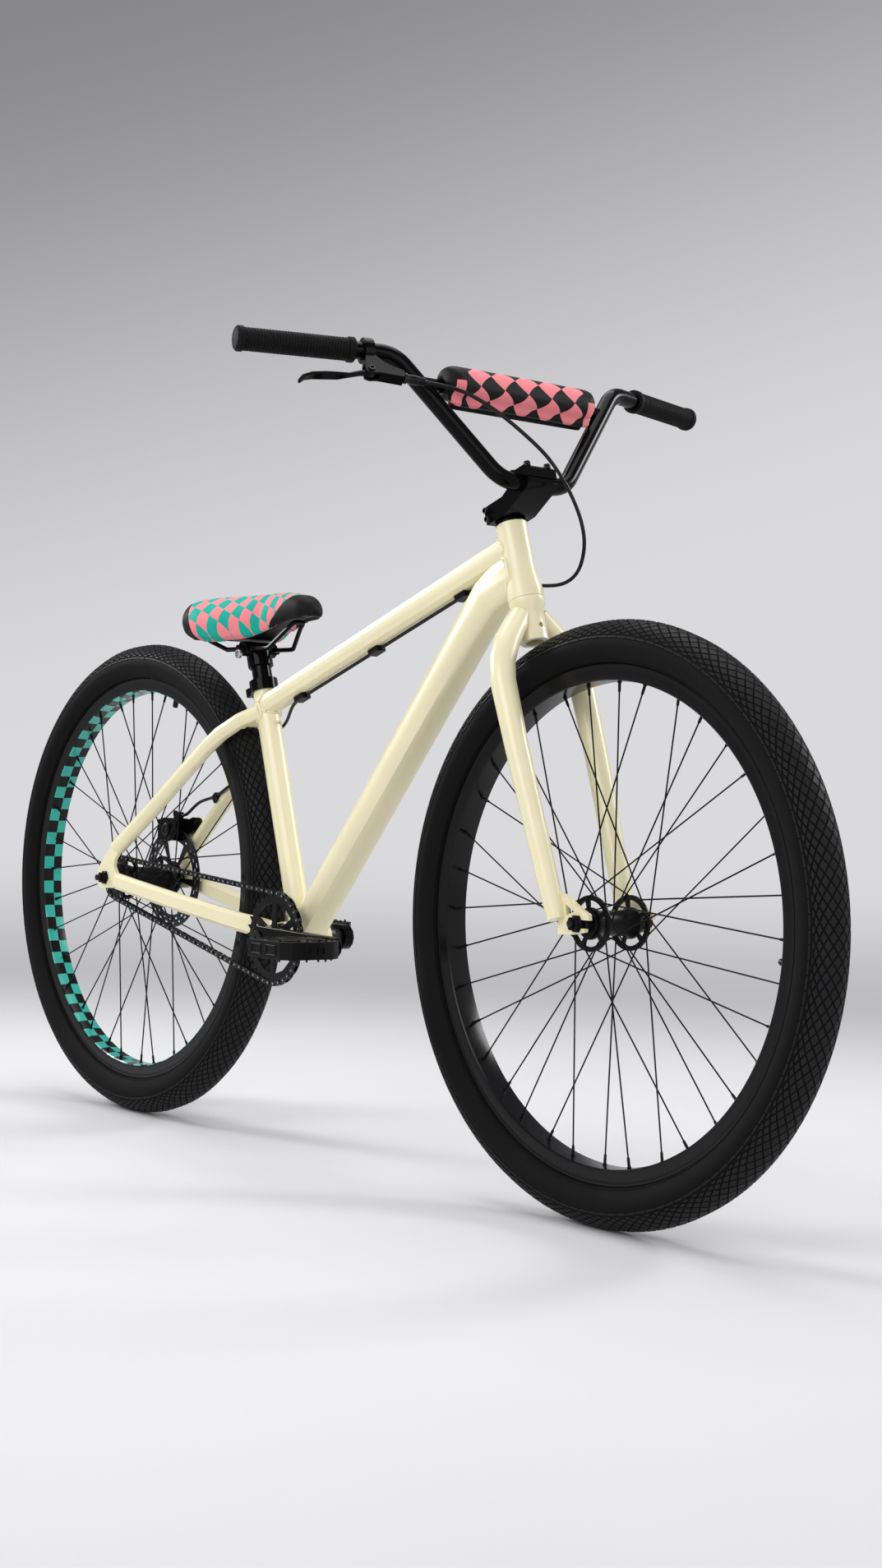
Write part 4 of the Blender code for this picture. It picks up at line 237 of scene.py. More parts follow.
def pearl_paint():
    """Pearl enamel over welded aluminium, sprayed and clear coated: soft flake under a deep gloss."""
    paint = settings().paint
    # Flake is 0.05 mm in the real paint, drawn at 1.2 mm so that it shows as a soft shimmer
    return patterned(
        "pearl_enamel", paint, 0.40, (90, 2, shade(paint, 0.94), shade(paint, 1.04)),
        (1.2, 2, 0.32, 0.44), (1.2, 2, 0.002, 0.1), coat=0.5, coat_roughness=0.26)


def black_enamel():
    """Black gloss enamel on steel and cast alloy: sharp highlights with a faint orange peel."""
    return patterned(
        "black_gloss_enamel", "060607", 0.14, (40, 3, "060607", "0A0A0B"), None, (3.0, 2, 0.02, 0.4),
        specular=0.09)


def black_anodised():
    """Black anodised aluminium, turned and bead blasted: a dull metal sheen."""
    return patterned(
        "black_anodised_aluminium", "0A0A0C", 0.30, (25, 3, "0A0A0B", "131315"), (0.8, 2, 0.24, 0.38),
        (0.8, 2, 0.02, 0.4), specular=0.13)


def rim_anodised():
    """Black anodised rim extrusion: a broad bright streak where light grazes it."""
    return patterned(
        "anodised_rim_extrusion", "0A0A0B", 0.20, (14, 3, "09090A", "101012"), (14, 3, 0.14, 0.26),
        specular=0.2)


def rim_paint():
    """Screen printed enamel squares on the rim: an even teal with a faint mottle."""
    teal = settings().teal
    return patterned(
        "printed_teal_enamel", teal, 0.32, (12, 3, shade(teal, 0.9), shade(teal, 1.08)), None,
        (1.5, 3, 0.01, 0.4), coat=0.3)


def tyre_rubber(name, share, low, high):
    """Vulcanised rubber from a spark eroded mould: matt, a little dusty, with fine grain."""
    rubber = shade(settings().rubber, share)
    # Mould grain is 0.2 mm, drawn at 1.5 mm so that it shows
    return patterned(
        name, rubber, 0.7, (30, 4, shade(rubber, 0.8), shade(rubber, 1.25)), (30, 4, low, high),
        (1.5, 2, 0.05, 0.5), ior=1.52, specular=0.08)


def wall_rubber():
    """The tyres' sidewalls and grooves: dark and matt."""
    return tyre_rubber("moulded_tyre_rubber", 0.75, 0.6, 0.8)


def highlit_scale_rubber():
    """The tread's scales: the same rubber painted paler than the walls, a painted highlight for the overhead
    light on the tread; smoother than the walls too.
    """
    # Painted highlight: a share of 2.3 against the walls' 0.75 makes the scales pale
    return tyre_rubber("scale_rubber_with_painted_highlight", 2.3, 0.38, 0.55)


def grip_rubber():
    """Soft moulded grip rubber with a raised knurl of 3 mm."""
    # The knurl's colour follows its relief: darker in the grooves between the raised cells and paler on their
    # tops, a painted shade and a painted highlight
    return patterned(
        "moulded_grip_rubber", "0C0C0D", 0.62, (3.0, 0, "161617", "090909"), (10, 3, 0.52, 0.72),
        (3.0, 0, -0.4, 0.7), ior=1.52, specular=0.10)


def black_oxide():
    """Oiled black oxide steel of the chain and small hardware: dark, with oily glints."""
    return patterned(
        "oiled_black_oxide_steel", "0D0D0E", 0.30, (4, 3, "0B0B0C", "1A1A1B"), (4, 3, 0.2, 0.42),
        specular=0.25)


def bright_steel():
    """Zinc plated steel of pins and bolts: bright and slightly uneven."""
    return patterned(
        "zinc_plated_steel", "C8C9CC", 0.25, (2, 3, "A9AAAD", "D8D9DB"), (2, 3, 0.18, 0.38), metallic=1.0)


def moulded_nylon():
    """Glass filled nylon, injection moulded: satin black with a fine leather grain."""
    return patterned(
        "moulded_black_nylon", "0A0A0B", 0.42, (20, 3, "09090A", "111112"), (1.6, 0, 0.36, 0.5),
        (1.6, 0, 0.05, 0.4), ior=1.53, specular=0.11)


def cable_housing():
    """Extruded cable housing: smooth black vinyl with a soft gloss."""
    return patterned(
        "extruded_black_vinyl", "0A0A0B", 0.26, (15, 3, "0A0A0B", "151516"), None, (2, 3, 0.02, 0.3),
        ior=1.53, specular=0.2)


def disc_steel():
    """Stainless brake disc, ground in circles and darkened by heat."""
    made, tree, shader, place = surface("ground_stainless_steel", "3E3F42", 0.32, 1.0)
    centre = node(tree, "Mapping", {"Location": tuple(-AXLES["rear"]), "Scale": (1, 0, 1)}, {"Vector": place})
    radius = node(tree, "VectorMath", {"operation": "LENGTH"}, {0: centre.outputs[0]}).outputs["Value"]
    # Grinding marks are 0.1 mm apart, drawn at 1 mm
    marks = maths(tree, "SINE", maths(tree, "MULTIPLY", radius, math.tau * 1000))
    vary_colour(tree, shader, pattern(tree, place, 8), "2C2D2F", "4E4F52")
    vary_roughness(tree, shader, pattern(tree, place, 3), 0.25, 0.42)
    emboss(tree, shader, marks, 0.01, 0.4)
    return made


def maths(tree, operation, first, second=0.0):
    """One arithmetic step of a pattern, on sockets or numbers."""
    values, links = {"operation": operation}, {}
    for index, item in enumerate((first, second)):
        if isinstance(item, (int, float)):
            values[index] = float(item)
        else:
            links[index] = item
    return node(tree, "Math", values, links).outputs[0]


def axes_from(tree, place, centre):
    """The X, Y and Z of a place as seen from a centre."""
    local = node(tree, "Mapping", {"Location": tuple(-centre)}, {"Vector": place}).outputs[0]
    return node(tree, "SeparateXYZ", {}, {0: local}).outputs


def saddle_cloth():
    """Printed vinyl-backed cloth sewn to plain black panels: slanted teal and pink checks, matt weave."""
    teal, pink, black = tuple(settings().teal), tuple(settings().pink), tuple(settings().black_cloth)
    made, tree, shader, place = surface("sewn_checked_cloth", teal, 0.55, sheen=0.02, specular=0.14)
    axes = axes_from(tree, place, SADDLE)
    along = axes[0]
    over = maths(tree, "SUBTRACT", axes[2], maths(tree, "ABSOLUTE", axes[1]))
    # Checks are 24 mm long at the tail and 14 mm towards the nose, in rows of 27 mm
    squared = maths(tree, "MULTIPLY", along, along)
    squeezed = maths(tree, "ADD", along, maths(tree, "MULTIPLY", squared, 1.75))
    steep = maths(tree, "SUBTRACT", squeezed, maths(tree, "MULTIPLY", over, 0.16))
    shallow = maths(tree, "ADD", over, maths(tree, "MULTIPLY", along, 0.32))
    column = maths(tree, "FLOOR", maths(tree, "DIVIDE", steep, 0.0168))
    row = maths(tree, "FLOOR", maths(tree, "DIVIDE", maths(tree, "ADD", shallow, 0.004), 0.027))
    odd = maths(tree, "FLOORED_MODULO", maths(tree, "ADD", column, row), 2.0)
    checks = node(tree, "Mix", {"data_type": "RGBA", 6: teal, 7: pink}, {0: odd}).outputs[2]
    tail = maths(tree, "ADD", maths(tree, "ADD", along, 0.094), maths(tree, "MULTIPLY", over, 0.35))
    nose = maths(tree, "SUBTRACT", maths(tree, "ADD", 0.062, maths(tree, "MULTIPLY", over, 0.9)), along)
    inside = maths(tree, "MINIMUM", tail, nose)
    panel = maths(tree, "GREATER_THAN", inside, 0.0)
    mixed = node(tree, "Mix", {"data_type": "RGBA", 6: black}, {0: panel, 7: checks})
    tree.links.new(mixed.outputs[2], shader.inputs["Base Color"])
    # Threads are 0.4 mm apart, drawn at 1.2 mm; the seam is a groove 2.4 mm wide
    seam = node(tree, "MapRange", {"From Max": 0.0012}, {"Value": maths(tree, "ABSOLUTE", inside)})
    weave = maths(tree, "MULTIPLY", pattern(tree, place, 1.2, 2), 0.12)
    emboss(tree, shader, maths(tree, "ADD", seam.outputs["Result"], weave), 0.7, 0.8)
    vary_roughness(tree, shader, pattern(tree, place, 6), 0.48, 0.64)
    return made


def pad_cloth():
    """Printed nylon sleeve of the bar pad: pointed pink and black diamonds between plain black ends."""
    pink, black = tuple(settings().pink), tuple(settings().black_cloth)
    made, tree, shader, place = surface("printed_nylon_sleeve", pink, 0.55, sheen=0.02, specular=0.14)
    axes = axes_from(tree, place, PAD_CENTRE)
    turn = maths(tree, "ARCTAN2", axes[2], axes[0])
    # Five rows of diamonds round the sleeve, each 40 mm long, with bowed sides
    around = maths(tree, "DIVIDE", turn, math.tau / 5)
    along = maths(tree, "DIVIDE", axes[1], 0.040)
    bow = maths(tree, "MULTIPLY", maths(tree, "SINE", maths(tree, "MULTIPLY", around, math.tau)), 0.07)
    along = maths(tree, "ADD", along, bow)
    first = maths(tree, "FLOOR", maths(tree, "ADD", along, around))
    second = maths(tree, "FLOOR", maths(tree, "SUBTRACT", along, around))
    odd = maths(tree, "FLOORED_MODULO", maths(tree, "ADD", first, second), 2.0)
    printed = node(tree, "Mix", {"data_type": "RGBA", 6: black, 7: pink}, {0: odd}).outputs[2]
    end = maths(tree, "ABSOLUTE", axes[1])
    plain = maths(tree, "GREATER_THAN", end, 0.0980)
    low, front = maths(tree, "LESS_THAN", turn, 0.15), maths(tree, "GREATER_THAN", turn, -1.3)
    low_front = maths(tree, "MULTIPLY", low, front)
    near = maths(tree, "ABSOLUTE", maths(tree, "SUBTRACT", end, 0.1105))
    band = maths(tree, "MULTIPLY", low_front, maths(tree, "LESS_THAN", near, 0.0070))
    capped = node(tree, "Mix", {"data_type": "RGBA", 6: black, 7: pink}, {0: band}).outputs[2]
    mixed = node(tree, "Mix", {"data_type": "RGBA"}, {0: plain, 6: printed, 7: capped})
    tree.links.new(mixed.outputs[2], shader.inputs["Base Color"])
    seam = node(tree, "MapRange", {"From Max": 0.0010}, {
        "Value": maths(tree, "ABSOLUTE", maths(tree, "SUBTRACT", end, 0.1040))})
    weave = maths(tree, "MULTIPLY", pattern(tree, place, 1.2, 2), 0.15)
    emboss(tree, shader, maths(tree, "ADD", seam.outputs["Result"], weave), 0.6, 0.8)
    vary_roughness(tree, shader, pattern(tree, place, 6), 0.42, 0.6)
    return made


def plain_black_cloth():
    """Plain black nylon tape of the pad's closing flap: matt, with a fine rib."""
    black = tuple(settings().black_cloth)
    made, tree, shader, place = surface("ribbed_black_nylon", black, 0.6, specular=0.12)
    rib = node(tree, "TexWave", {"Scale": 180.0, "bands_direction": "Y"}, {"Vector": place}).outputs["Fac"]
    # The rib is paler on its ridges and darker in its troughs: a painted highlight and a painted shade
    vary_colour(tree, shader, rib, black, "171718")
    emboss(tree, shader, rib, 0.15, 0.6)
    return made


MAKERS = {
    "black_cloth": plain_black_cloth,
    "cream": pearl_paint,
    "gloss_black": black_enamel,
    "satin_black": black_anodised,
    "rim": rim_anodised,
    "teal": rim_paint,
    "tyre": wall_rubber,
    # The scales' rubber is painted paler than the walls': a painted highlight
    "scales": highlit_scale_rubber,
    "grip": grip_rubber,
    "oxide": black_oxide,
    "steel": bright_steel,
    "disc": disc_steel,
    "nylon": moulded_nylon,
    "housing": cable_housing,
    "saddle": saddle_cloth,
    "pad": pad_cloth,
}
MADE = {}


def material(name):
    if name not in MADE:
        MADE[name] = MAKERS[name]()
    return MADE[name]


# Shapes

def add_piece(name, bm, finishes, body, stands_for=(), crease=35, turn_out=True):
    """Turns a finished bmesh into a piece that rides on a body."""
    bmesh.ops.remove_doubles(bm, verts=bm.verts, dist=MERGE)
    if turn_out:
        bmesh.ops.recalc_face_normals(bm, faces=bm.faces)
    mesh = bpy.data.meshes.new(name)
    bm.to_mesh(mesh)
    bm.free()
    if "custom_normal" in mesh.attributes:
        mesh.attributes.remove(mesh.attributes["custom_normal"])
    mesh.shade_smooth()
    mesh.set_sharp_from_angle(angle=math.radians(crease))
    piece = bpy.data.objects.new(name, mesh)
    bpy.context.scene.collection.objects.link(piece)
    for finish in finishes:
        mesh.materials.append(material(finish))
    if body:
        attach(piece, body)
    if stands_for:
        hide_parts(*stands_for)
    return piece


def solid_copy(name):
    """A merged copy of one solid's mesh."""
    bm = bmesh.new()
    bm.from_mesh(frame["nodes"][name].data)
    bmesh.ops.remove_doubles(bm, verts=bm.verts, dist=SOLID_MERGE)
    return bm


def dress(names, finish, rounding=0.0, crease=35):
    """Smooth copies of the named solids, with their edges rounded, in their places."""
    for name in names.split():
        bm = solid_copy(name)
        bmesh.ops.dissolve_limit(
            bm, angle_limit=FLAT, use_dissolve_boundaries=False, verts=bm.verts, edges=bm.edges)
        body = frame["nodes"][name]["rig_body"]
        piece = add_piece(name + "_finish", bm, [finish], body, [name], crease, False)
        if rounding:
            bevel = piece.modifiers.new("rounded_edges", "BEVEL")
            bevel.width = rounding
            bevel.segments = 2
            bevel.limit_method = "ANGLE"
            bevel.angle_limit = math.radians(40)
            bevel.harden_normals = False


def spun(bm, profile, place, steps):
    """Spins a closed or open profile of (radius, height) round the place's Z axis."""
    before = len(bm.verts)
    points = [bm.verts.new(place @ Vector((radius, 0, height))) for radius, height in profile]
    geometry = points + [bm.edges.new(pair) for pair in zip(points, points[1:])]
    axis = (place.to_3x3() @ Z_AXIS).normalized()
    centre = place.to_translation()
    if steps < 100:
        bmesh.ops.spin(
            bm, geom=geometry, cent=centre, axis=axis, angle=math.tau, steps=steps, use_merge=True)
    else:
        # A long spin is slow, so a tenth of it is spun and copied round
        old_faces = set(bm.faces)
        bmesh.ops.spin(bm, geom=geometry, cent=centre, axis=axis, angle=math.tau / 10, steps=steps // 10)
        sector = [face for face in bm.faces if face not in old_faces]
        for turn in range(1, 10):
            copied = bmesh.ops.duplicate(bm, geom=sector)["geom"]
            rotation = Matrix.Rotation(math.tau * turn / 10, 3, axis)
            bmesh.ops.rotate(bm, cent=centre, matrix=rotation, verts=verts_of(copied))
    bm.verts.ensure_lookup_table()
    return bm.verts[before:]


def verts_of(geometry):
    return [item for item in geometry if isinstance(item, bmesh.types.BMVert)]


def mirrored(profile):
    """A profile's other half, in reverse, so that it carries on where the first half ends."""
    return [(radius, -height) for radius, height in reversed(profile)]


def polar(radius, angle, y=0.0):
    """A point on a circle in the wheels' plane, or beside it."""
    return Vector((radius * math.cos(angle), y, radius * math.sin(angle)))


def turned_part(bm, profile, place, steps):
    """A turned part whose profile starts and ends on the axis or closes on itself."""
    bmesh.ops.remove_doubles(bm, verts=spun(bm, profile, place, steps), dist=MERGE)


def facing(position, direction, across=Y_AXIS):
    """A place at a position whose Z axis runs along a direction."""
    z = direction.normalized()
    x = across - z * across.dot(z)
    if x.length < 0.01:
        x = X_AXIS - z * z.x
    x.normalize()
    y = z.cross(x)
    rotation = Matrix((x, y, z)).transposed().to_4x4()
    return Matrix.Translation(position) @ rotation


def places_along(points, sizes, across=Y_AXIS, closed=False):
    """Scaled frames along a path, turned as little as possible; sizes are radii or (width, height)."""
    places = []
    last = None
    for i, point in enumerate(points):
        ahead = points[(i + 1) % len(points)] if closed or i + 1 < len(points) else point
        behind = points[i - 1] if closed or i > 0 else point
        direction = (ahead - behind).normalized()
        side = across if last is None else last
        side = (side - direction * side.dot(direction)).normalized()
        last = side
        up = direction.cross(side)
        size = sizes[i]
        wide, high = size if isinstance(size, tuple) else (size, size)
        rotation = Matrix((side * wide, up * high, direction)).transposed().to_4x4()
        places.append(Matrix.Translation(point) @ rotation)
    return places


def carried_ring(bm, places, segments, closed=False):
    """Carries one ring of edges through a list of places, extruding it from each to the next."""
    first = bmesh.ops.create_circle(bm, cap_ends=False, segments=segments, radius=1.0)["verts"]
    bmesh.ops.transform(bm, matrix=places[0], verts=first)
    start = list(dict.fromkeys(edge for vert in first for edge in vert.link_edges))
    edges = start
    for here, following in zip(places, places[1:]):
        made = bmesh.ops.extrude_edge_only(bm, edges=edges)["geom"]
        verts = verts_of(made)
        bmesh.ops.transform(bm, matrix=following @ here.inverted(), verts=verts)
        edges = [e for e in made if isinstance(e, bmesh.types.BMEdge) and set(e.verts) <= set(verts)]
    if closed:
        bmesh.ops.bridge_loops(bm, edges=start + edges)
    else:
        for rim in (start, edges):
            bmesh.ops.contextual_create(bm, geom=rim)


def rounded_corners(corners, radius, steps):
    """A path whose corners are rounded by arcs."""
    path = [corners[0]]
    for before, corner, after in zip(corners, corners[1:], corners[2:]):
        into, out = (corner - before).normalized(), (after - corner).normalized()
        half = into.angle(out) / 2
        run = radius * math.tan(half)
        start = corner - into * run
        middle = (out - into).normalized()
        inward = (middle - into * middle.dot(into)).normalized()
        centre = start + inward * radius
        for step in range(steps + 1):
            angle = 2 * half * step / steps
            path.append(centre - inward * radius * math.cos(angle) + into * radius * math.sin(angle))
    path.append(corners[-1])
    return path


def surface_tree(name):
    """A solid's skin, ready for rays."""
    bm = solid_copy(name)
    tree = BVHTree.FromBMesh(bm)
    bm.free()
    return tree


WELD_POINTS = 96


def add_weld(bm, tube, onto, station, along, radius):
    """A rippled bead round the joint where a tube's skin meets what it is welded to."""
    skin, wall = surface_tree(tube), surface_tree(onto)
    along = along.normalized()
    side = along.orthogonal().normalized()
    other = along.cross(side)
    points = []
    for i in range(WELD_POINTS):
        angle = math.tau * i / WELD_POINTS
        out = side * math.cos(angle) + other * math.sin(angle)
        on_skin = skin.ray_cast(station + out * 0.08, -out)[0]
        if on_skin is None:
            continue
        joint = wall.ray_cast(on_skin + out * 0.0004, along, 0.12)[0]
        if joint is not None:
            points.append(joint)
    if len(points) < 12:
        raise RuntimeError(f"no joint found between {tube} and {onto}")
    closed = len(points) == WELD_POINTS
    # A ripple is four points long, which is 2 to 6 mm on these tubes
    sizes = [radius * (1.0 + 0.16 * math.cos(math.pi * i * 0.5)) for i in range(len(points))]
    carried_ring(bm, places_along(points, sizes, along, closed), 8, closed)


# Wheels

# Degrees round the tyre's section, from the middle of the tread
TREAD_ANGLES = (0, 25, 46, 61, 71)
KNOB_ANGLES = (71, 78)
# Radius and half width down the sidewall to the bead
SIDEWALL = [
    (0.3440, 0.0313), (0.3385, 0.0311), (0.3330, 0.0296), (0.3280, 0.0272), (0.3235, 0.0241),
    (0.3212, 0.0222), (0.3206, 0.0228), (0.3194, 0.0222), (0.3186, 0.0200), (0.3180, 0.0170),
    (0.3176, 0.0150), (0.3135, 0.0138),
]


def wheel_place(word):
    """A wheel's centre, with Z along its axle."""
    return facing(AXLES[word], Y_AXIS, X_AXIS)


def raise_cells(bm, faces, gap, depth):
    """Raises each face from the grooves round it, in the second material."""
    bmesh.ops.inset_individual(bm, faces=faces, thickness=gap, depth=depth, use_even_offset=True)
    for face in faces:
        face.material_index = 1


def tread_tyre(word):
    """One tyre: a tread of raised scales, small shoulder knobs and smooth sidewalls."""
    centre, place = AXLES[word], wheel_place(word)
    depth, gap = settings().tread_groove, settings().tread_gap
    middle, section = TYRE_RADIUS - TYRE_SECTION, TYRE_SECTION - depth
    bm = bmesh.new()

    def on_section(degrees, sign=1):
        angle = math.radians(degrees)
        return (middle + section * math.cos(angle), sign * section * math.sin(angle))

    tread = [on_section(angle) for angle in TREAD_ANGLES]
    spun(bm, mirrored(tread[1:]) + tread, place, TREAD_STEPS)
    bmesh.ops.remove_doubles(bm, verts=bm.verts, dist=MERGE)
    inner_edges = [edge for edge in bm.edges if len(edge.link_faces) == 2]
    if sum(face.normal.dot(face.calc_center_median() - centre) for face in bm.faces) < 0:
        bmesh.ops.reverse_faces(bm, faces=bm.faces[:])
    bmesh.ops.poke(bm, faces=bm.faces[:], center_mode="MEAN")
    bmesh.ops.dissolve_edges(bm, edges=inner_edges, use_verts=False)
    raise_cells(bm, [face for face in bm.faces if len(face.verts) == 4], gap, depth)
    for sign in (-1, 1):
        before = set(bm.faces)
        spun(bm, [on_section(angle, sign) for angle in KNOB_ANGLES], place, TREAD_STEPS)
        knobs = [face for face in bm.faces if face not in before]
        bmesh.ops.recalc_face_normals(bm, faces=knobs)
        inward = [face for face in knobs if face.normal.dot(face.calc_center_median() - centre) < 0]
        bmesh.ops.reverse_faces(bm, faces=inward)
        raise_cells(bm, knobs, gap * 0.8, depth)
    wall = [on_section(KNOB_ANGLES[1]), *SIDEWALL]
    spun(bm, wall + mirrored(wall), place, TREAD_STEPS)
    # The scales carry a painted highlight: their rubber is painted paler than the walls'
    add_piece(f"tyre_{word}_rubber", bm, ["tyre", "scales"], f"{word}_wheel", [f"tyre_{word}"], 30)


RIM_SIDE = [
    (RIM_OUTER, RIM_HALF), (RIM_OUTER - 0.0012, RIM_HALF + 0.0002), (RIM_OUTER - 0.0030, RIM_HALF - 0.0002),
    (0.3090, 0.0170), (0.3010, 0.0168), (0.2985, 0.0165), (RIM_INNER + 0.0012, 0.0152),
]
RIM_WELL = [
    (RIM_INNER + 0.0032, 0.0120), (0.3085, 0.0140), (RIM_OUTER - 0.0010, 0.0150), (RIM_OUTER, 0.0152),
]
SQUARES_RADIUS, SQUARES_HALF = 0.2985, 0.0164
VALVE = [
    (0, 0), (0.0048, 0), (0.0048, 0.0028), (0.0036, 0.0034), (0.0036, 0.0052), (0.0043, 0.0056),
    (0.0043, 0.0150), (0.0034, 0.0168), (0, 0.0168),
]


def rim_and_valve(word, valve_degrees):
    """A rim's hollow section spun round, with its valve; the rear one has two rows of painted squares."""
    centre, place = AXLES[word], wheel_place(word)
    bm = bmesh.new()
    sides = [*RIM_SIDE, (RIM_INNER, 0.0), *mirrored(RIM_SIDE)]
    spun(bm, [*sides, *mirrored(RIM_WELL), *RIM_WELL, RIM_SIDE[0]], place, RIM_STEPS)
    bmesh.ops.remove_doubles(bm, verts=bm.verts, dist=MERGE)
    bmesh.ops.recalc_face_normals(bm, faces=bm.faces)
    for face in bm.faces if word == "rear" else ():
        middle = face.calc_center_median() - centre
        if math.hypot(middle.x, middle.z) < SQUARES_RADIUS and abs(middle.y) < SQUARES_HALF:
            cell = int((math.atan2(middle.z, middle.x) + math.pi) / math.tau * RIM_SQUARES)
            if (cell + (middle.y > 0)) % 2:
                face.material_index = 1
    angle = math.radians(valve_degrees)
    outward = Vector((math.sin(angle), 0, math.cos(angle)))
    turned_part(bm, VALVE, facing(centre + outward * (RIM_INNER + 0.002), -outward), 16)
    finishes = ["rim", "teal"] if word == "rear" else ["rim"]
    add_piece(f"rim_{word}_extrusion", bm, finishes, f"{word}_wheel", [f"rim_{word}"], 30, False)


NIPPLE = [
    (0, -0.001), (0.0027, -0.001), (0.0027, 0.0012), (0.0019, 0.0020), (0.0018, 0.0115),
    (0.0013, 0.0130), (0, 0.0130),
]
SPOKE_HEAD = [(0, -0.0014), (0.0021, -0.0014), (0.0021, 0.0), (0, 0.0006)]


def spoke_set(word):
    """Thirty-six crossed spokes with their heads at the hub and their nipples at the rim."""
    centre, radius = AXLES[word], settings().spoke_radius
    root = FLANGE_RADIUS - 0.0035
    bm = bmesh.new()
    for side in (-1, 1):
        for i in range(SPOKES_PER_SIDE):
            hub_angle = math.tau * (i + (0.5 if side > 0 else 0)) / SPOKES_PER_SIDE
            lean = 1 if i % 2 == 0 else -1
            hub = centre + polar(root, hub_angle, side * FLANGE_HALF + 0.00264 * lean)
            rim = centre + polar(RIM_INNER, hub_angle + SPOKE_LEAN * lean, side * 0.003 + 0.001 * lean)
            carried_ring(bm, places_along([hub, rim], [radius, radius]), 6)
            turned_part(bm, NIPPLE, facing(rim, (hub - rim).normalized()), 8)
            turned_part(bm, SPOKE_HEAD, facing(hub, Y_AXIS * lean, X_AXIS), 8)
    add_piece(f"spokes_{word}", bm, ["satin_black"], f"{word}_wheel")


FRONT_SHELL = [
    (0.0112, -0.0400), (0.0164, -0.0400), (0.0170, -0.0394), (0.0170, -0.0335), (0.0190, -0.0305),
    (0.0172, -0.0255), (0.0160, -0.0200),
]
HUB_SHELLS = {
    "front": [*FRONT_SHELL, (0.0157, 0.0), *mirrored(FRONT_SHELL)],
    "rear": [
        (0.0112, -0.0570), (0.0164, -0.0570), (0.0168, -0.0385), (0.0190, -0.0385), (0.0190, -0.0300),
        (0.0176, -0.0240), (0.0170, -0.0200), (0.0168, 0.0), (0.0170, 0.0200), (0.0180, 0.0260),
        (0.0200, 0.0300), (0.0215, 0.0345), (0.0215, 0.0506), (0.0180, 0.0506), (0.0180, 0.0550),
        (0.0112, 0.0555),
    ],
}
FLANGE_RADII = [0.0160, 0.0198, 0.0204, 0.0276, 0.0283, 0.0338, FLANGE_RADIUS]
DISC_RADII = [0.0156, 0.0270, 0.0275, 0.0598, 0.0603, 0.0650, 0.0680, 0.0720, 0.0750, 0.0800]


def windowed_disc(bm, place, offset, radii, steps, half, is_window):
    """A flat turned disc with windows cut through it, its lips rounded."""
    before = set(bm.faces)
    spun(bm, [(radius, offset) for radius in radii], place, steps)
    bmesh.ops.remove_doubles(bm, verts=bm.verts, dist=MERGE)
    inverse = place.inverted()
    window = []
    for face in [face for face in bm.faces if face not in before]:
        middle = inverse @ face.calc_center_median()
        cell = int((math.atan2(middle.y, middle.x) + math.pi) / math.tau * steps + 0.01)
        if is_window(math.hypot(middle.x, middle.y), cell):
            window.append(face)
    bmesh.ops.delete(bm, geom=window, context="FACES")
    disc = [face for face in bm.faces if face not in before]
    axis = place.to_3x3() @ Z_AXIS
    verts = list(dict.fromkeys(vert for face in disc for vert in face.verts))
    bmesh.ops.translate(bm, vec=-axis * half, verts=verts)
    made = bmesh.ops.extrude_face_region(bm, geom=disc, use_keep_orig=True)["geom"]
    bmesh.ops.translate(bm, vec=axis * half * 2, verts=verts_of(made))
    lips = [edge for edge in bm.edges if edge.is_valid and set(edge.link_faces) - before
            and len(edge.link_faces) == 2 and edge.calc_face_angle(0) > 1.0]
    round_by = min(0.0005, half * 0.5)
    bmesh.ops.bevel(bm, geom=lips, offset=round_by, segments=2, profile=0.5, affect="EDGES", material=-1)


def flange_window(radius, cell):
    """Five long windows between the flange's inner and outer rings."""
    return 0.0199 < radius < 0.0282 and cell % 12 > 1


def disc_window(radius, cell):
    """Six windows between the disc's arms, and two rows of holes drilled in its track."""
    between_arms = 0.0272 < radius < 0.0600 and cell % 20 > 3
    inner_hole = 0.0650 < radius < 0.0680 and cell % 5 in (0, 1)
    outer_hole = 0.0720 < radius < 0.0750 and cell % 5 in (3, 4)
    return between_arms or inner_hole or outer_hole


def drilled_disc():
    """The brake disc with its six arms and its drilled track."""
    bm = bmesh.new()
    windowed_disc(bm, wheel_place("rear"), DISC_OFFSET, DISC_RADII, 120, DISC_HALF, disc_window)
    add_piece("brake_disc_drilled", bm, ["disc"], "rear_wheel", ["brake_disc"], 30)


def hub_shell(word):
    """A turned hub shell between two high flanges."""
    place = wheel_place(word)
    bm = bmesh.new()
    for offset in (-FLANGE_HALF, FLANGE_HALF):
        windowed_disc(bm, place, offset, FLANGE_RADII, 60, 0.0023, flange_window)
    turned_part(bm, HUB_SHELLS[word] + HUB_SHELLS[word][:1], place, 60)
    add_piece(f"hub_{word}_shell", bm, ["satin_black"], f"{word}_wheel", [f"hub_{word}"], 30)


class WHEELIE_OT_tyres(bpy.types.Operator):
    """Build both tyres with their tread of scales"""
    bl_idname = "wheelie_bike.tyres"
    bl_label = "Tyres"

    def execute(self, context):
        for word in AXLES:
            tread_tyre(word)
        return {"FINISHED"}


class WHEELIE_OT_rims(bpy.types.Operator):
    """Build both rims, their valves and the rear rim's painted squares"""
    bl_idname = "wheelie_bike.rims"
    bl_label = "Rims"

    def execute(self, context):
        rim_and_valve("front", 95)
        rim_and_valve("rear", 15)
        return {"FINISHED"}


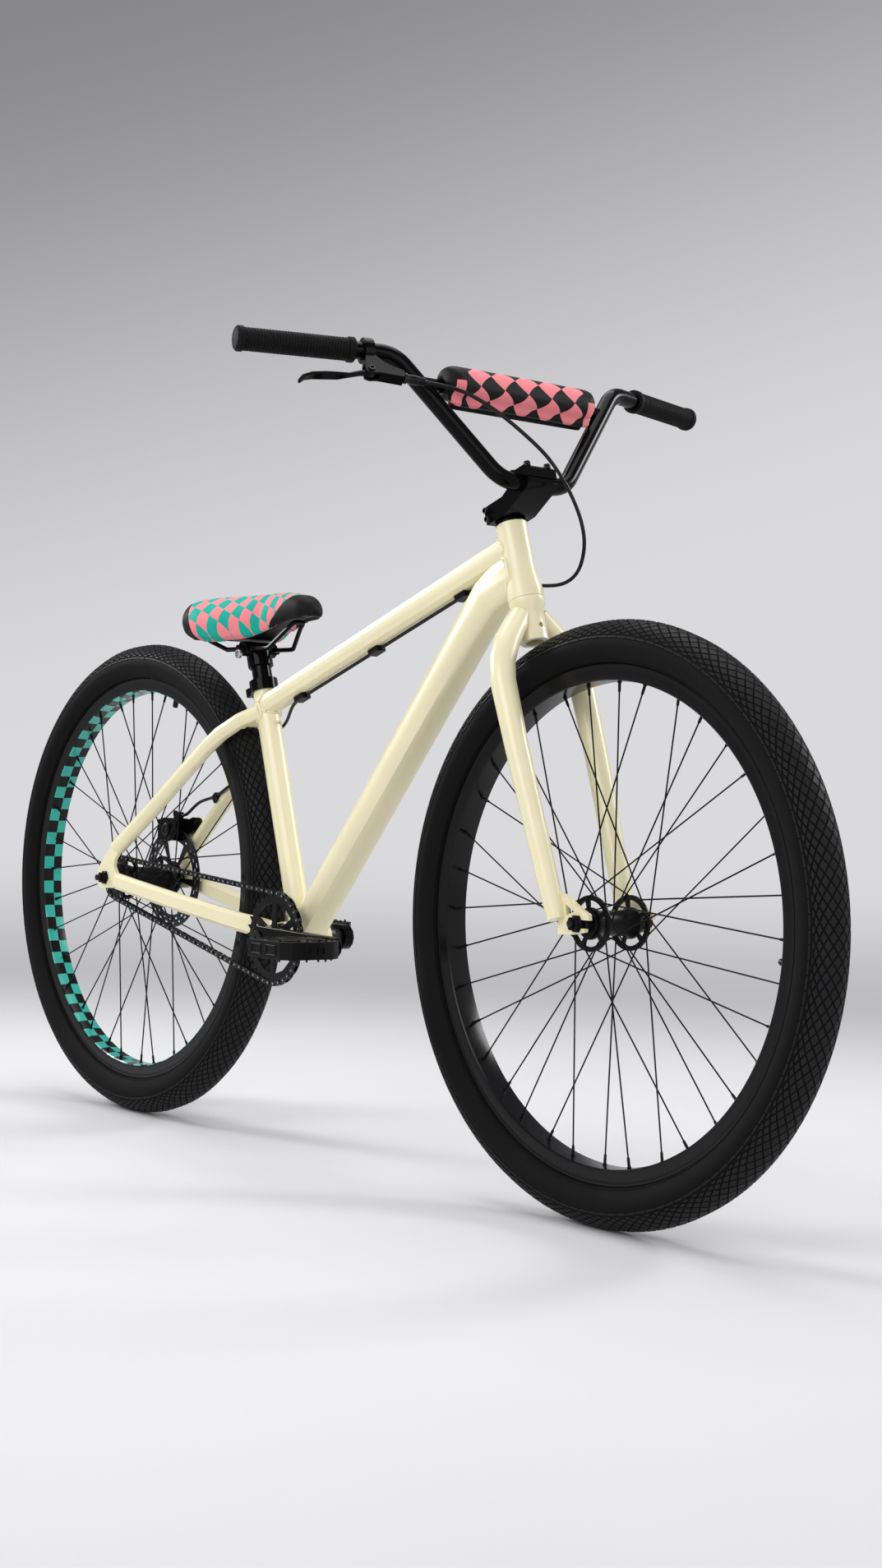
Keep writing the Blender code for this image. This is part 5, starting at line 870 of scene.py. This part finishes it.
class WHEELIE_OT_hubs(bpy.types.Operator):
    """Finish both hubs, their spokes and the brake disc"""
    bl_idname = "wheelie_bike.hubs"
    bl_label = "Hubs and spokes"

    def execute(self, context):
        for word in AXLES:
            hub_shell(word)
            spoke_set(word)
            dress(f"axle_{word}", "oxide", 0.0004)
            dress(f"axle_nut_{word}_right axle_nut_{word}_left", "gloss_black", 0.0006)
        drilled_disc()
        return {"FINISHED"}


# Frame and fork

TOP_TUBE_FRONT = STEER @ Vector((0, 0, 0.075))
TOP_TUBE_REAR = BRACKET + SEAT_UP * 0.3537
DOWN_TUBE_END = STEER @ Vector((0, 0, 0.04515))
DOWN_TUBE_BEND = DOWN_TUBE_END + Vector((-0.8150, 0, -0.5150)) * 0.068
SEATSTAY_TOP = (Vector((-0.2117, 0.012, 0.6357)), Vector((-0.243, 0.029, 0.621)))
CHAINSTAY_TOP = (Vector((-0.1139, 0.027, 0.311)), Vector((-0.175, 0.0365, 0.321)))


def welds_of_frame():
    """Each weld: the tube, what it meets, a point on the tube's line and the way towards the joint."""
    top = (TOP_TUBE_FRONT - TOP_TUBE_REAR).normalized()
    down = (DOWN_TUBE_END - DOWN_TUBE_BEND).normalized()
    to_bracket = (BRACKET - DOWN_TUBE_BEND).normalized()
    welds = [
        ("top_tube", "head_tube", TOP_TUBE_FRONT - top * 0.050, top),
        ("top_tube", "seat_tube", TOP_TUBE_REAR + top * 0.060, -top),
        ("down_tube", "head_tube", DOWN_TUBE_END - down * 0.055, down),
        ("down_tube", "bottom_bracket_shell", BRACKET - to_bracket * 0.060, to_bracket),
        ("seat_tube", "bottom_bracket_shell", BRACKET + SEAT_UP * 0.045, -SEAT_UP),
    ]
    for side, word in SIDES:
        mirror = Matrix.Diagonal((1, side, 1, 1))
        upper, lower = (mirror @ point for point in SEATSTAY_TOP)
        welds.append((f"seatstay_{word}", "seat_tube", lower, upper - lower))
        upper, lower = (mirror @ point for point in CHAINSTAY_TOP)
        welds.append((f"chainstay_{word}", "bottom_bracket_shell", lower, upper - lower))
        bridge = Vector((-0.2460, side * 0.006, 0.6190))
        welds.append(("seatstay_bridge", f"seatstay_{word}", bridge, Vector((0, side, 0))))
    return welds


class WHEELIE_OT_frame(bpy.types.Operator):
    """Finish the painted frame tubes and lay the weld beads at their joints"""
    bl_idname = "wheelie_bike.frame"
    bl_label = "Frame"

    def execute(self, context):
        dress("head_tube top_tube down_tube seat_tube bottom_bracket_shell seatstay_bridge seatstay_right "
              "seatstay_left chainstay_right chainstay_left", "cream",
              settings().edge_round * PAINT_ROUNDING, 38)
        bm = bmesh.new()
        for tube, onto, station, along in welds_of_frame():
            add_weld(bm, tube, onto, station, along, settings().weld_radius)
        add_piece("frame_weld_beads", bm, ["cream"], "frame", crease=60)
        dress("cable_clip_rear cable_clip_middle cable_clip_front stay_cable_clip", "nylon", 0.0004)
        dress("seat_clamp", "gloss_black", 0.0006)
        dress("bottom_bracket_cartridge", "oxide", 0.0004)
        return {"FINISHED"}


class WHEELIE_OT_fork(bpy.types.Operator):
    """Finish the fork and the headset"""
    bl_idname = "wheelie_bike.fork"
    bl_label = "Fork and headset"

    def execute(self, context):
        rounding = settings().edge_round * PAINT_ROUNDING
        dress("fork_crown fork_leg_right fork_leg_left", "cream", rounding, 38)
        dress("headset_cover", "gloss_black", 0.0004)
        dress("headset_top_cap", "gloss_black", 0.0006)
        return {"FINISHED"}


# Bar, stem, grips and pad

def bar_points(side):
    return [STEER @ Vector((x, y * side, z)) for x, y, z in BAR_CORNERS]


def crossbar_end(side):
    low, high = Vector(BAR_CORNERS[0]), Vector(BAR_CORNERS[1])
    point = low.lerp(high, (CROSSBAR_HEIGHT - low.z) / (high.z - low.z))
    return STEER @ Vector((point.x, point.y * side, point.z))


def add_grip(side, word):
    """A ribbed grip turned round the bar's end, with a flange at each end."""
    corners = bar_points(side)
    direction = (corners[2] - corners[1]).normalized()
    start = corners[2] - direction * (GRIP_LENGTH - 0.0035)
    flange = GRIP_RADIUS + 0.0015
    profile = [
        (BAR_RADIUS + 0.0002, 0.0), (flange - 0.0006, 0.0), (flange, 0.0006), (flange, 0.0069),
        (flange - 0.0006, 0.0075), (GRIP_RADIUS - 0.0010, 0.0082),
    ]
    first, last = 0.0090, GRIP_LENGTH - 0.0105
    step = (last - first) / GRIP_RIBS
    for i in range(GRIP_RIBS):
        low = first + (last - first) * i / GRIP_RIBS
        profile += [
            (GRIP_RADIUS - 0.0009, low), (GRIP_RADIUS, low + step * 0.25), (GRIP_RADIUS, low + step * 0.7),
        ]
    profile += [
        (GRIP_RADIUS - 0.0010, last), (flange - 0.0006, GRIP_LENGTH - 0.0093),
        (flange, GRIP_LENGTH - 0.0087), (flange, GRIP_LENGTH - 0.0031),
        (flange - 0.0020, GRIP_LENGTH - 0.0008), (0.0120, GRIP_LENGTH), (0, GRIP_LENGTH),
    ]
    bm = bmesh.new()
    turned_part(bm, profile, facing(start, direction), 48)
    add_piece(f"grip_{word}_rubber", bm, ["grip"], "fork", [f"grip_{word}"], 30)


def add_bolt(bm, place, radius, height):
    """A round bolt head with a round socket sunk in it, standing on its place."""
    head = [
        (0, 0), (radius, 0), (radius, height * 0.72), (radius * 0.86, height), (radius * 0.52, height),
        (radius * 0.50, height * 0.4), (0, height * 0.4),
    ]
    turned_part(bm, head, place, 18)


def stem_bolts():
    """Four bolts in the bar clamp and two that pinch the steerer."""
    bm = bmesh.new()
    upwards = STEER.to_3x3() @ Z_AXIS
    for x in (-0.0145, 0.0145):
        for y in (-0.0170, 0.0170):
            foot = STEER @ Vector((BAR_CORNERS[0][0] + x, y, BAR_CORNERS[0][2] + 0.0170))
            add_bolt(bm, facing(foot, upwards), 0.0047, 0.0064)
    for height in (0.1165, 0.1285):
        foot = STEER @ Vector((-0.0135, -0.0248, height))
        add_bolt(bm, facing(foot, -Y_AXIS, X_AXIS), 0.0044, 0.0052)
    add_piece("stem_bolts", bm, ["oxide"], "fork", crease=30)


class WHEELIE_OT_handlebar(bpy.types.Operator):
    """Bend the handlebar with its crossbar and finish the stem"""
    bl_idname = "wheelie_bike.handlebar"
    bl_label = "Handlebar and stem"

    def execute(self, context):
        bm = bmesh.new()
        right, left = bar_points(-1), bar_points(1)
        path = rounded_corners([right[2], right[1], right[0], left[0], left[1], left[2]], BAR_BEND, 10)
        carried_ring(bm, places_along(path, [BAR_RADIUS] * len(path), X_AXIS), 32)
        ends = places_along([crossbar_end(-1), crossbar_end(1)], [CROSSBAR_RADIUS] * 2, X_AXIS)
        carried_ring(bm, ends, 24)
        add_piece("handlebar_tube", bm, ["gloss_black"], "fork", ["handlebar"])
        dress("stem stem_clamp", "gloss_black", 0.0012)
        stem_bolts()
        return {"FINISHED"}


class WHEELIE_OT_grips(bpy.types.Operator):
    """Turn both ribbed rubber grips"""
    bl_idname = "wheelie_bike.grips"
    bl_label = "Grips"

    def execute(self, context):
        for side, word in SIDES:
            add_grip(side, word)
        return {"FINISHED"}


# Soft goods

def evened(piece, voxel):
    """Remeshes a padded piece into even cloth faces."""
    remesh = piece.modifiers.new("even_cloth", "REMESH")
    remesh.mode = "VOXEL"
    remesh.voxel_size = voxel
    swap_in_result(piece)


def swap_in_result(piece):
    """Applies a piece's modifiers to its mesh."""
    graph = bpy.context.evaluated_depsgraph_get()
    result = bpy.data.meshes.new_from_object(piece.evaluated_get(graph), depsgraph=graph)
    materials = list(piece.data.materials)
    piece.modifiers.clear()
    piece.data = result
    result.materials.clear()
    for item in materials:
        result.materials.append(item)


def puffed(piece, pressure, cap):
    """Swells a closed cloth shell by simulated air, and holds each point within a cap."""
    rest = [vert.co.copy() for vert in piece.data.vertices]
    air = piece.modifiers.new("air", "CLOTH")
    air.settings.use_pressure = True
    air.settings.uniform_pressure_force = pressure
    air.settings.effector_weights.gravity = 0
    air.settings.quality = 5
    air.collision_settings.use_collision = False
    scene = bpy.context.scene
    for step in range(1, 21):
        scene.frame_set(step)
    graph = bpy.context.evaluated_depsgraph_get()
    swollen = piece.evaluated_get(graph).data
    moves = [vert.co - start for vert, start in zip(swollen.vertices, rest)]
    piece.modifiers.clear()
    scene.frame_set(1)
    for vert, start, shift in zip(piece.data.vertices, rest, moves):
        if shift.length > cap:
            shift = shift.normalized() * cap
        vert.co = start + shift


def soften(piece, rounds):
    """Smooths out what the remesh left uneven."""
    bm = bmesh.new()
    bm.from_mesh(piece.data)
    for _ in range(rounds):
        bmesh.ops.smooth_vert(
            bm, verts=bm.verts, factor=0.5, use_axis_x=True, use_axis_y=True, use_axis_z=True)
    bm.to_mesh(piece.data)
    bm.free()


def subdivide(piece, name, rounds):
    """Live subdivision, the same in the view and the render."""
    finish = piece.modifiers.new(name, "SUBSURF")
    finish.levels = rounds
    finish.render_levels = rounds


class WHEELIE_OT_saddle(bpy.types.Operator):
    """Pad the saddle's cushion and finish what carries it"""
    bl_idname = "wheelie_bike.saddle"
    bl_label = "Saddle and post"

    def execute(self, context):
        bm = solid_copy("saddle_cushion")
        body = frame["nodes"]["saddle_cushion"]["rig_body"]
        cushion = add_piece("saddle_cushion_cover", bm, ["saddle"], body, ["saddle_cushion"], 80, False)
        evened(cushion, 0.004)
        puffed(cushion, 4.0, 0.003)
        soften(cushion, 2)
        cushion.data.shade_smooth()
        subdivide(cushion, "fine_cloth", 1)
        dress("saddle_base", "nylon", 0.0006)
        dress("saddle_rails", "gloss_black")
        dress("saddle_clamp", "gloss_black", 0.0006)
        dress("seatpost", "gloss_black", 0.0004)
        low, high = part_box("saddle_clamp")
        foot = Vector(((low[0] + high[0]) / 2, low[1] + 0.0004, low[2] + (high[2] - low[2]) * 0.55))
        bm = bmesh.new()
        add_bolt(bm, facing(foot, -Y_AXIS, X_AXIS), 0.0068, 0.0050)
        add_piece("saddle_clamp_bolt", bm, ["steel"], body, crease=30)
        return {"FINISHED"}


class WHEELIE_OT_bar_pad(bpy.types.Operator):
    """Pad the sleeve round the crossbar"""
    bl_idname = "wheelie_bike.bar_pad"
    bl_label = "Bar pad"

    def execute(self, context):
        bm = solid_copy("bar_pad")
        pad = add_piece("bar_pad_sleeve", bm, ["pad"], "fork", ["bar_pad"], 80, False)
        evened(pad, 0.003)
        puffed(pad, 3.0, 0.0015)
        soften(pad, 2)
        pad.data.shade_smooth()
        middle = PAD_CENTRE + Vector((0.003, 0, -0.0235))
        # Reach to the side, then half thickness and half depth
        half = [(0.1120, 0.0024, 0.0030), (0.1100, 0.0036, 0.0058), (0.1040, 0.0040, 0.0066)]
        flap = [(-y, thick, deep) for y, thick, deep in half] + half[::-1]
        path, sizes = [middle + Y_AXIS * y for y, *_ in flap], [tuple(size) for _, *size in flap]
        bm = bmesh.new()
        carried_ring(bm, places_along(path, sizes, X_AXIS), 12)
        add_piece("bar_pad_flap", bm, ["black_cloth"], "fork")
        return {"FINISHED"}


# Drive

def chain_pin_places():
    """The centre of every chain pin round both sprockets."""
    large, small = (CHAIN_PITCH / 2 / math.sin(math.pi / teeth) for teeth in (RING_TEETH, COG_TEETH))
    rear = AXLES["rear"]
    distance = (rear - BRACKET).length
    lean = math.asin((large - small) / distance)
    line = math.atan2(rear.z - BRACKET.z, rear.x - BRACKET.x)
    straight = distance * math.cos(lean) / CHAIN_PITCH
    on_ring, on_cog = RING_TEETH * (0.5 + lean / math.pi), COG_TEETH * (0.5 - lean / math.pi)
    ring_start, cog_start = line + math.pi / 2 - lean, line - math.pi / 2 + lean

    lower = (BRACKET + polar(large, cog_start), rear + polar(small, cog_start))
    upper = (rear + polar(small, ring_start), BRACKET + polar(large, ring_start))
    pins = []
    for i in range(CHAIN_LINKS):
        place = i + 0.5
        past_run = place - on_ring - straight
        if place < on_ring:
            pins.append(BRACKET + polar(large, ring_start + math.tau * place / RING_TEETH))
        elif past_run < 0:
            pins.append(lower[0].lerp(lower[1], (place - on_ring) / straight))
        elif past_run < on_cog:
            pins.append(rear + polar(small, cog_start + math.tau * past_run / COG_TEETH))
        else:
            pins.append(upper[0].lerp(upper[1], (past_run - on_cog) / straight))
    return pins


class WHEELIE_OT_drive(bpy.types.Operator):
    """Finish the cranks, sprockets and chain, with a bright pin at every link"""
    bl_idname = "wheelie_bike.drive"
    bl_label = "Cranks and chain"

    def execute(self, context):
        dress("crank_arm_right crank_arm_left", "gloss_black", 0.0012)
        dress("crank_spindle", "oxide", 0.0004)
        dress("chainring", "satin_black", 0.0004)
        dress("freewheel_cog", "oxide", 0.0003)
        dress("chain", "oxide")
        low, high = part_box("chain")
        length = high[1] - low[1] + 0.0006
        pin = [
            (0, 0), (0.0011, 0), (0.0014, 0.0004), (0.0014, length - 0.0004), (0.0011, length), (0, length),
        ]
        bm = bmesh.new()
        for place in chain_pin_places():
            start = Vector((place.x, low[1] - 0.0003, place.z))
            turned_part(bm, pin, facing(start, Y_AXIS, X_AXIS), 10)
        add_piece("chain_pins", bm, ["steel"], "frame")
        return {"FINISHED"}


PEDAL_PIN = [
    (0, 0), (0.0019, 0), (0.0019, 0.0012), (0.0014, 0.0016), (0.0014, 0.0034), (0.0009, 0.0038), (0, 0.0038),
]


def add_square(bm, middle, across, up, axis):
    """A raised square rib round a socket."""
    corners = [middle + across * a + up * b for a, b in ((-1, -1), (1, -1), (1, 1), (-1, 1))]
    carried_ring(bm, places_along(corners, [0.0011] * 4, axis, True), 8, True)


def pedal_hardware(side, word):
    """Grip pins on both faces of a pedal's cage, and the moulded square sockets in its sides."""
    centre = BRACKET + Vector((-side * CRANK_LENGTH, side * PEDAL_NEAR, 0))
    bm = bmesh.new()
    spots = [(x, y) for x in (-0.0452, 0.0452) for y in (0.028, 0.040, 0.059, 0.073)]
    spots += [(x, y) for x in (-0.030, 0.030) for y in (0.0925, 0.0075)]
    for x, y in spots:
        for up in (-1, 1):
            foot = centre + Vector((x, side * y, up * (PEDAL_HALF_HEIGHT - 0.0006)))
            turned_part(bm, PEDAL_PIN, facing(foot, Z_AXIS * up), 10)
    for end in (-1, 1):
        for y in (0.038, 0.060):
            middle = centre + Vector((end * 0.0500, side * y, 0))
            add_square(bm, middle, Y_AXIS * 0.0050, Z_AXIS * 0.0050, X_AXIS)
    for x in (-0.0175, 0.0175):
        middle = centre + Vector((x, side * 0.0980, 0))
        add_square(bm, middle, X_AXIS * 0.0105, Z_AXIS * 0.0062, Y_AXIS)
    add_piece(f"pedal_pins_{word}", bm, ["nylon"], f"pedal_{word}", crease=40)


class WHEELIE_OT_pedals(bpy.types.Operator):
    """Finish both platform pedals"""
    bl_idname = "wheelie_bike.pedals"
    bl_label = "Pedals"

    def execute(self, context):
        for side, word in SIDES:
            dress(f"pedal_{word}", "nylon", 0.0009)
            pedal_hardware(side, word)
        return {"FINISHED"}


# Brake

def side_bolt(bm, base, place, way, radius, height):
    """A bolt head on a base's right side, where the way is -1, or on its left."""
    add_bolt(bm, base @ facing(Vector(place), Y_AXIS * way, X_AXIS), radius, height)


def lever_hardware():
    """The lever clamp's bolt, the lever's pivot bolt and the ribbed barrel adjuster with its lock ring."""
    corner, end = (Vector((x, -y, z)) for x, y, z in BAR_CORNERS[1:])
    along = (end - corner).normalized()
    place = corner + along * ((LEVER_PLACE - abs(corner.y)) / abs(along.y))
    forward = (LEVER_FORWARD - along * LEVER_FORWARD.dot(along)).normalized()
    turned_to = Matrix((forward, along.cross(forward), along)).transposed().to_4x4()
    lever = STEER @ Matrix.Translation(place) @ turned_to
    bm = bmesh.new()
    for way in (-1, 1):
        side_bolt(bm, lever, (0.0400, way * 0.0068, 0.0040), way, 0.0046, 0.0030)
    side_bolt(bm, lever, (0.0195, -0.0068, 0.0), -1, 0.0042, 0.0040)
    ridges = [
        (0.0030, 0.0010), (0.0066, 0.0010), (0.0070, 0.0014), (0.0070, 0.0044), (0.0066, 0.0048),
        (0.0056, 0.0050),
    ]
    for i in range(7):
        low = 0.0080 + i * 0.0016
        ridges += [(0.0056, low), (0.0062, low + 0.0004), (0.0062, low + 0.0010), (0.0056, low + 0.0014)]
    ridges += [(0.0056, 0.0204), (0.0030, 0.0204)]
    barrel = lever @ facing(Vector((0.0440, 0, -0.03875)), Vector((0.0040, 0, -0.0315)))
    turned_part(bm, ridges + ridges[:1], barrel, 24)
    add_piece("lever_hardware", bm, ["oxide"], "fork", crease=30)


def caliper_hardware():
    """The caliper's two halves bolted together, its pad adjuster and the bolt that holds its arm."""
    axle = Matrix.Translation(AXLES["rear"])
    bm = bmesh.new()
    for x, z in ((-0.0255, 0.0895), (0.0155, 0.0655), (0.0155, 0.0900)):
        for y, way in ((0.0407, -1), (0.0638, 1)):
            side_bolt(bm, axle, (x, y, z), way, 0.0042, 0.0030)
    dial = [
        (0, 0), (0.0098, 0), (0.0105, 0.0008), (0.0105, 0.0026), (0.0088, 0.0034), (0.0060, 0.0034),
        (0.0056, 0.0022), (0, 0.0022),
    ]
    turned_part(bm, dial, axle @ facing(Vector((-0.0060, 0.0407, 0.0770)), -Y_AXIS, X_AXIS), 28)
    side_bolt(bm, axle, (-0.0060, 0.0686, 0.0770), 1, 0.0062, 0.0036)
    add_piece("caliper_hardware", bm, ["oxide"], "frame", crease=30)


def smooth_cable(name, body):
    """A cable's solid, drawn smooth by two rounds of subdivision."""
    bm = solid_copy(name)
    bmesh.ops.join_triangles(bm, faces=bm.faces, angle_face_threshold=0.7, angle_shape_threshold=1.2)
    held = bm.edges.layers.float.new("crease_edge")
    for edge in bm.edges:
        if edge.calc_face_angle(0) > 1.2:
            edge[held] = 1.0
    cable = add_piece(name + "_housing", bm, ["housing"], body, [name], 60, False)
    subdivide(cable, "smooth_housing", 2)
    swap_in_result(cable)
    # Subdivision draws the tube in by a tenth of its radius
    for vert in cable.data.vertices:
        vert.co += vert.normal * 0.00025
    cable.data.shade_smooth()
    return cable


class WHEELIE_OT_brake(bpy.types.Operator):
    """Finish the lever, caliper and cables"""
    bl_idname = "wheelie_bike.brake"
    bl_label = "Brake and cables"

    def execute(self, context):
        dress("brake_lever_bracket brake_lever_blade caliper_arm caliper_adapter", "gloss_black", 0.0008)
        dress("caliper_body", "gloss_black", 0.0024)
        caliper_hardware()
        lever_hardware()
        smooth_cable("brake_cable", "frame")
        loop = smooth_cable("brake_cable_loop", None)
        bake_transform(loop)
        return {"FINISHED"}


# Stage

def soft_lamp(name, place, target, size, watts):
    lamp = bpy.data.lights.new(name, "AREA")
    lamp.shape = "RECTANGLE"
    lamp.size, lamp.size_y = size
    lamp.energy = watts
    holder = bpy.data.objects.new(name, lamp)
    holder.matrix_world = facing(Vector(place), Vector(place) - Vector(target), X_AXIS)
    bpy.context.scene.collection.objects.link(holder)


class WHEELIE_OT_stage(bpy.types.Operator):
    """Set the camera, the pale floor and the soft studio light"""
    bl_idname = "wheelie_bike.stage"
    bl_label = "Stage"

    def execute(self, context):
        scene = context.scene
        scene.view_settings.view_transform = "Standard"
        yaw, pitch, roll = CAMERA_YAW, CAMERA_PITCH, CAMERA_ROLL
        heading = Vector((math.cos(yaw), math.sin(yaw), 0))
        forward = heading * math.cos(pitch) + Z_AXIS * math.sin(pitch)
        level = Vector((math.sin(yaw), -math.cos(yaw), 0))
        upright = level.cross(forward)
        right = level * math.cos(roll) + upright * math.sin(roll)
        up = upright * math.cos(roll) - level * math.sin(roll)
        lens = bpy.data.cameras.new("studio_camera")
        lens.sensor_fit = "VERTICAL"
        lens.sensor_height = SENSOR_MM
        lens.lens = FOCAL_PIXELS / PHOTO_PIXELS * SENSOR_MM
        lens.clip_end = 60
        camera = bpy.data.objects.new("studio_camera", lens)
        rotation = Matrix((right, up, -forward)).transposed().to_4x4()
        camera.matrix_world = Matrix.Translation(CAMERA_PLACE) @ rotation
        scene.collection.objects.link(camera)
        scene.camera = camera

        soft_lamp("overhead_softbox", (-0.3, 0.2, 3.0), (0, 0, 0.4), (2.8, 2.2), 52)
        soft_lamp("key_softbox", (0.9, -3.6, 2.2), (0, 0, 0.5), (2.6, 2.0), 66)
        soft_lamp("front_softbox", (3.6, -0.8, 1.6), (0, 0, 0.5), (2.6, 2.4), 27)
        soft_lamp("left_softbox", (-3.1, -1.4, 2.0), (0, 0, 0.3), (0.9, 0.9), 58)
        soft_lamp("rear_softbox", (1.5, 3.1, 2.4), (0, 0, 0.3), (1.0, 1.0), 52)

        world = bpy.data.worlds.new("studio")
        scene.world = world
        world.use_nodes = True
        tree = world.node_tree
        tree.nodes.clear()
        rays = node(tree, "LightPath").outputs
        seen = maths(tree, "MAXIMUM", rays["Is Camera Ray"], rays["Is Transmission Ray"])
        seen = maths(tree, "MAXIMUM", seen, rays["Is Glossy Ray"])
        around = node(tree, "Background", {"Color": linear("E6E6E8"), "Strength": 0.40})
        way = node(tree, "TexCoord").outputs["Generated"]
        # The wall is painted with shade: darker higher up and to the camera's left, and darkest where the
        # paper turns up, a painted shade in the bend
        height = node(tree, "SeparateXYZ", {}, {0: way}).outputs[2]
        dot = node(tree, "VectorMath", {"operation": "DOT_PRODUCT", 1: tuple(level)}, {0: way})
        side = dot.outputs["Value"]
        leaning = maths(tree, "SUBTRACT", height, maths(tree, "MULTIPLY", side, 0.3))
        climb = node(tree, "MapRange", {
            "From Min": 0.06, "From Max": 0.40, "interpolation_type": "SMOOTHSTEP"}, {"Value": leaning})
        wall_painted_shade = node(tree, "Mix", {"data_type": "RGBA", 6: linear("DADADC"), 7: linear("848489")}, {
            0: climb.outputs["Result"]})
        below = node(tree, "MapRange", {
            "From Min": -0.030, "From Max": -0.090, "interpolation_type": "SMOOTHSTEP"}, {"Value": height})
        backdrop_painted_shade = node(tree, "Mix", {"data_type": "RGBA", 7: linear("BCBCBE")}, {
            0: below.outputs["Result"], 6: wall_painted_shade.outputs[2]})
        behind = node(tree, "Background", {"Strength": 1.0}, {"Color": backdrop_painted_shade.outputs[2]})
        both = node(tree, "MixShader", {}, {0: seen, 1: around.outputs[0], 2: behind.outputs[0]})
        node(tree, "OutputWorld", {}, {0: both.outputs[0]})

        bm = bmesh.new()
        bmesh.ops.create_circle(bm, cap_ends=True, segments=96, radius=9.0)
        mesh = bpy.data.meshes.new("studio_floor")
        bm.to_mesh(mesh)
        bm.free()
        floor = bpy.data.objects.new("studio_floor", mesh)
        scene.collection.objects.link(floor)
        made, tree, shader, place = surface("studio_paper", "D8D8DA", 0.8)
        vary_colour(tree, shader, pattern(tree, place, 300, 2), "D6D6D8", "DADADC")
        reach = node(tree, "VectorMath", {"operation": "LENGTH"}, {0: place}).outputs["Value"]
        fade = node(tree, "MapRange", {
            "From Min": 1.1, "From Max": 3.6, "interpolation_type": "SMOOTHSTEP"}, {"Value": reach})
        clear = node(tree, "BsdfTransparent").outputs[0]
        mixed = node(tree, "MixShader", {}, {0: fade.outputs["Result"], 1: shader.outputs[0], 2: clear})
        tree.links.new(mixed.outputs[0], tree.nodes["Material Output"].inputs["Surface"])
        mesh.materials.append(made)
        floor.location.z = -0.0005
        return {"FINISHED"}


STEPS = (
    WHEELIE_OT_stage, WHEELIE_OT_tyres, WHEELIE_OT_rims, WHEELIE_OT_hubs, WHEELIE_OT_frame, WHEELIE_OT_fork,
    WHEELIE_OT_handlebar, WHEELIE_OT_grips, WHEELIE_OT_bar_pad, WHEELIE_OT_saddle, WHEELIE_OT_drive,
    WHEELIE_OT_pedals, WHEELIE_OT_brake,
)


class WHEELIE_PT_panel(bpy.types.Panel):
    """Lists the bike's settings and its building steps"""
    bl_label = "Wheelie bike"
    bl_idname = "WHEELIE_PT_panel"
    bl_space_type = "VIEW_3D"
    bl_region_type = "UI"
    bl_category = "Wheelie bike"

    def draw(self, context):
        for name in WheelieBikeSettings.__annotations__:
            self.layout.prop(context.scene.wheelie_bike, name)
        for step in STEPS:
            self.layout.operator(step.bl_idname)


def register():
    for item in (WheelieBikeSettings, *STEPS, WHEELIE_PT_panel):
        bpy.utils.register_class(item)
    bpy.types.Scene.wheelie_bike = bpy.props.PointerProperty(type=WheelieBikeSettings)


def unregister():
    del bpy.types.Scene.wheelie_bike
    for item in reversed((WheelieBikeSettings, *STEPS, WHEELIE_PT_panel)):
        bpy.utils.unregister_class(item)


def main():
    """Runs every building step in order."""
    register()
    for step in STEPS:
        group, name = step.bl_idname.split(".")
        getattr(getattr(bpy.ops, group), name)()


if __name__ == "__main__":
    main()
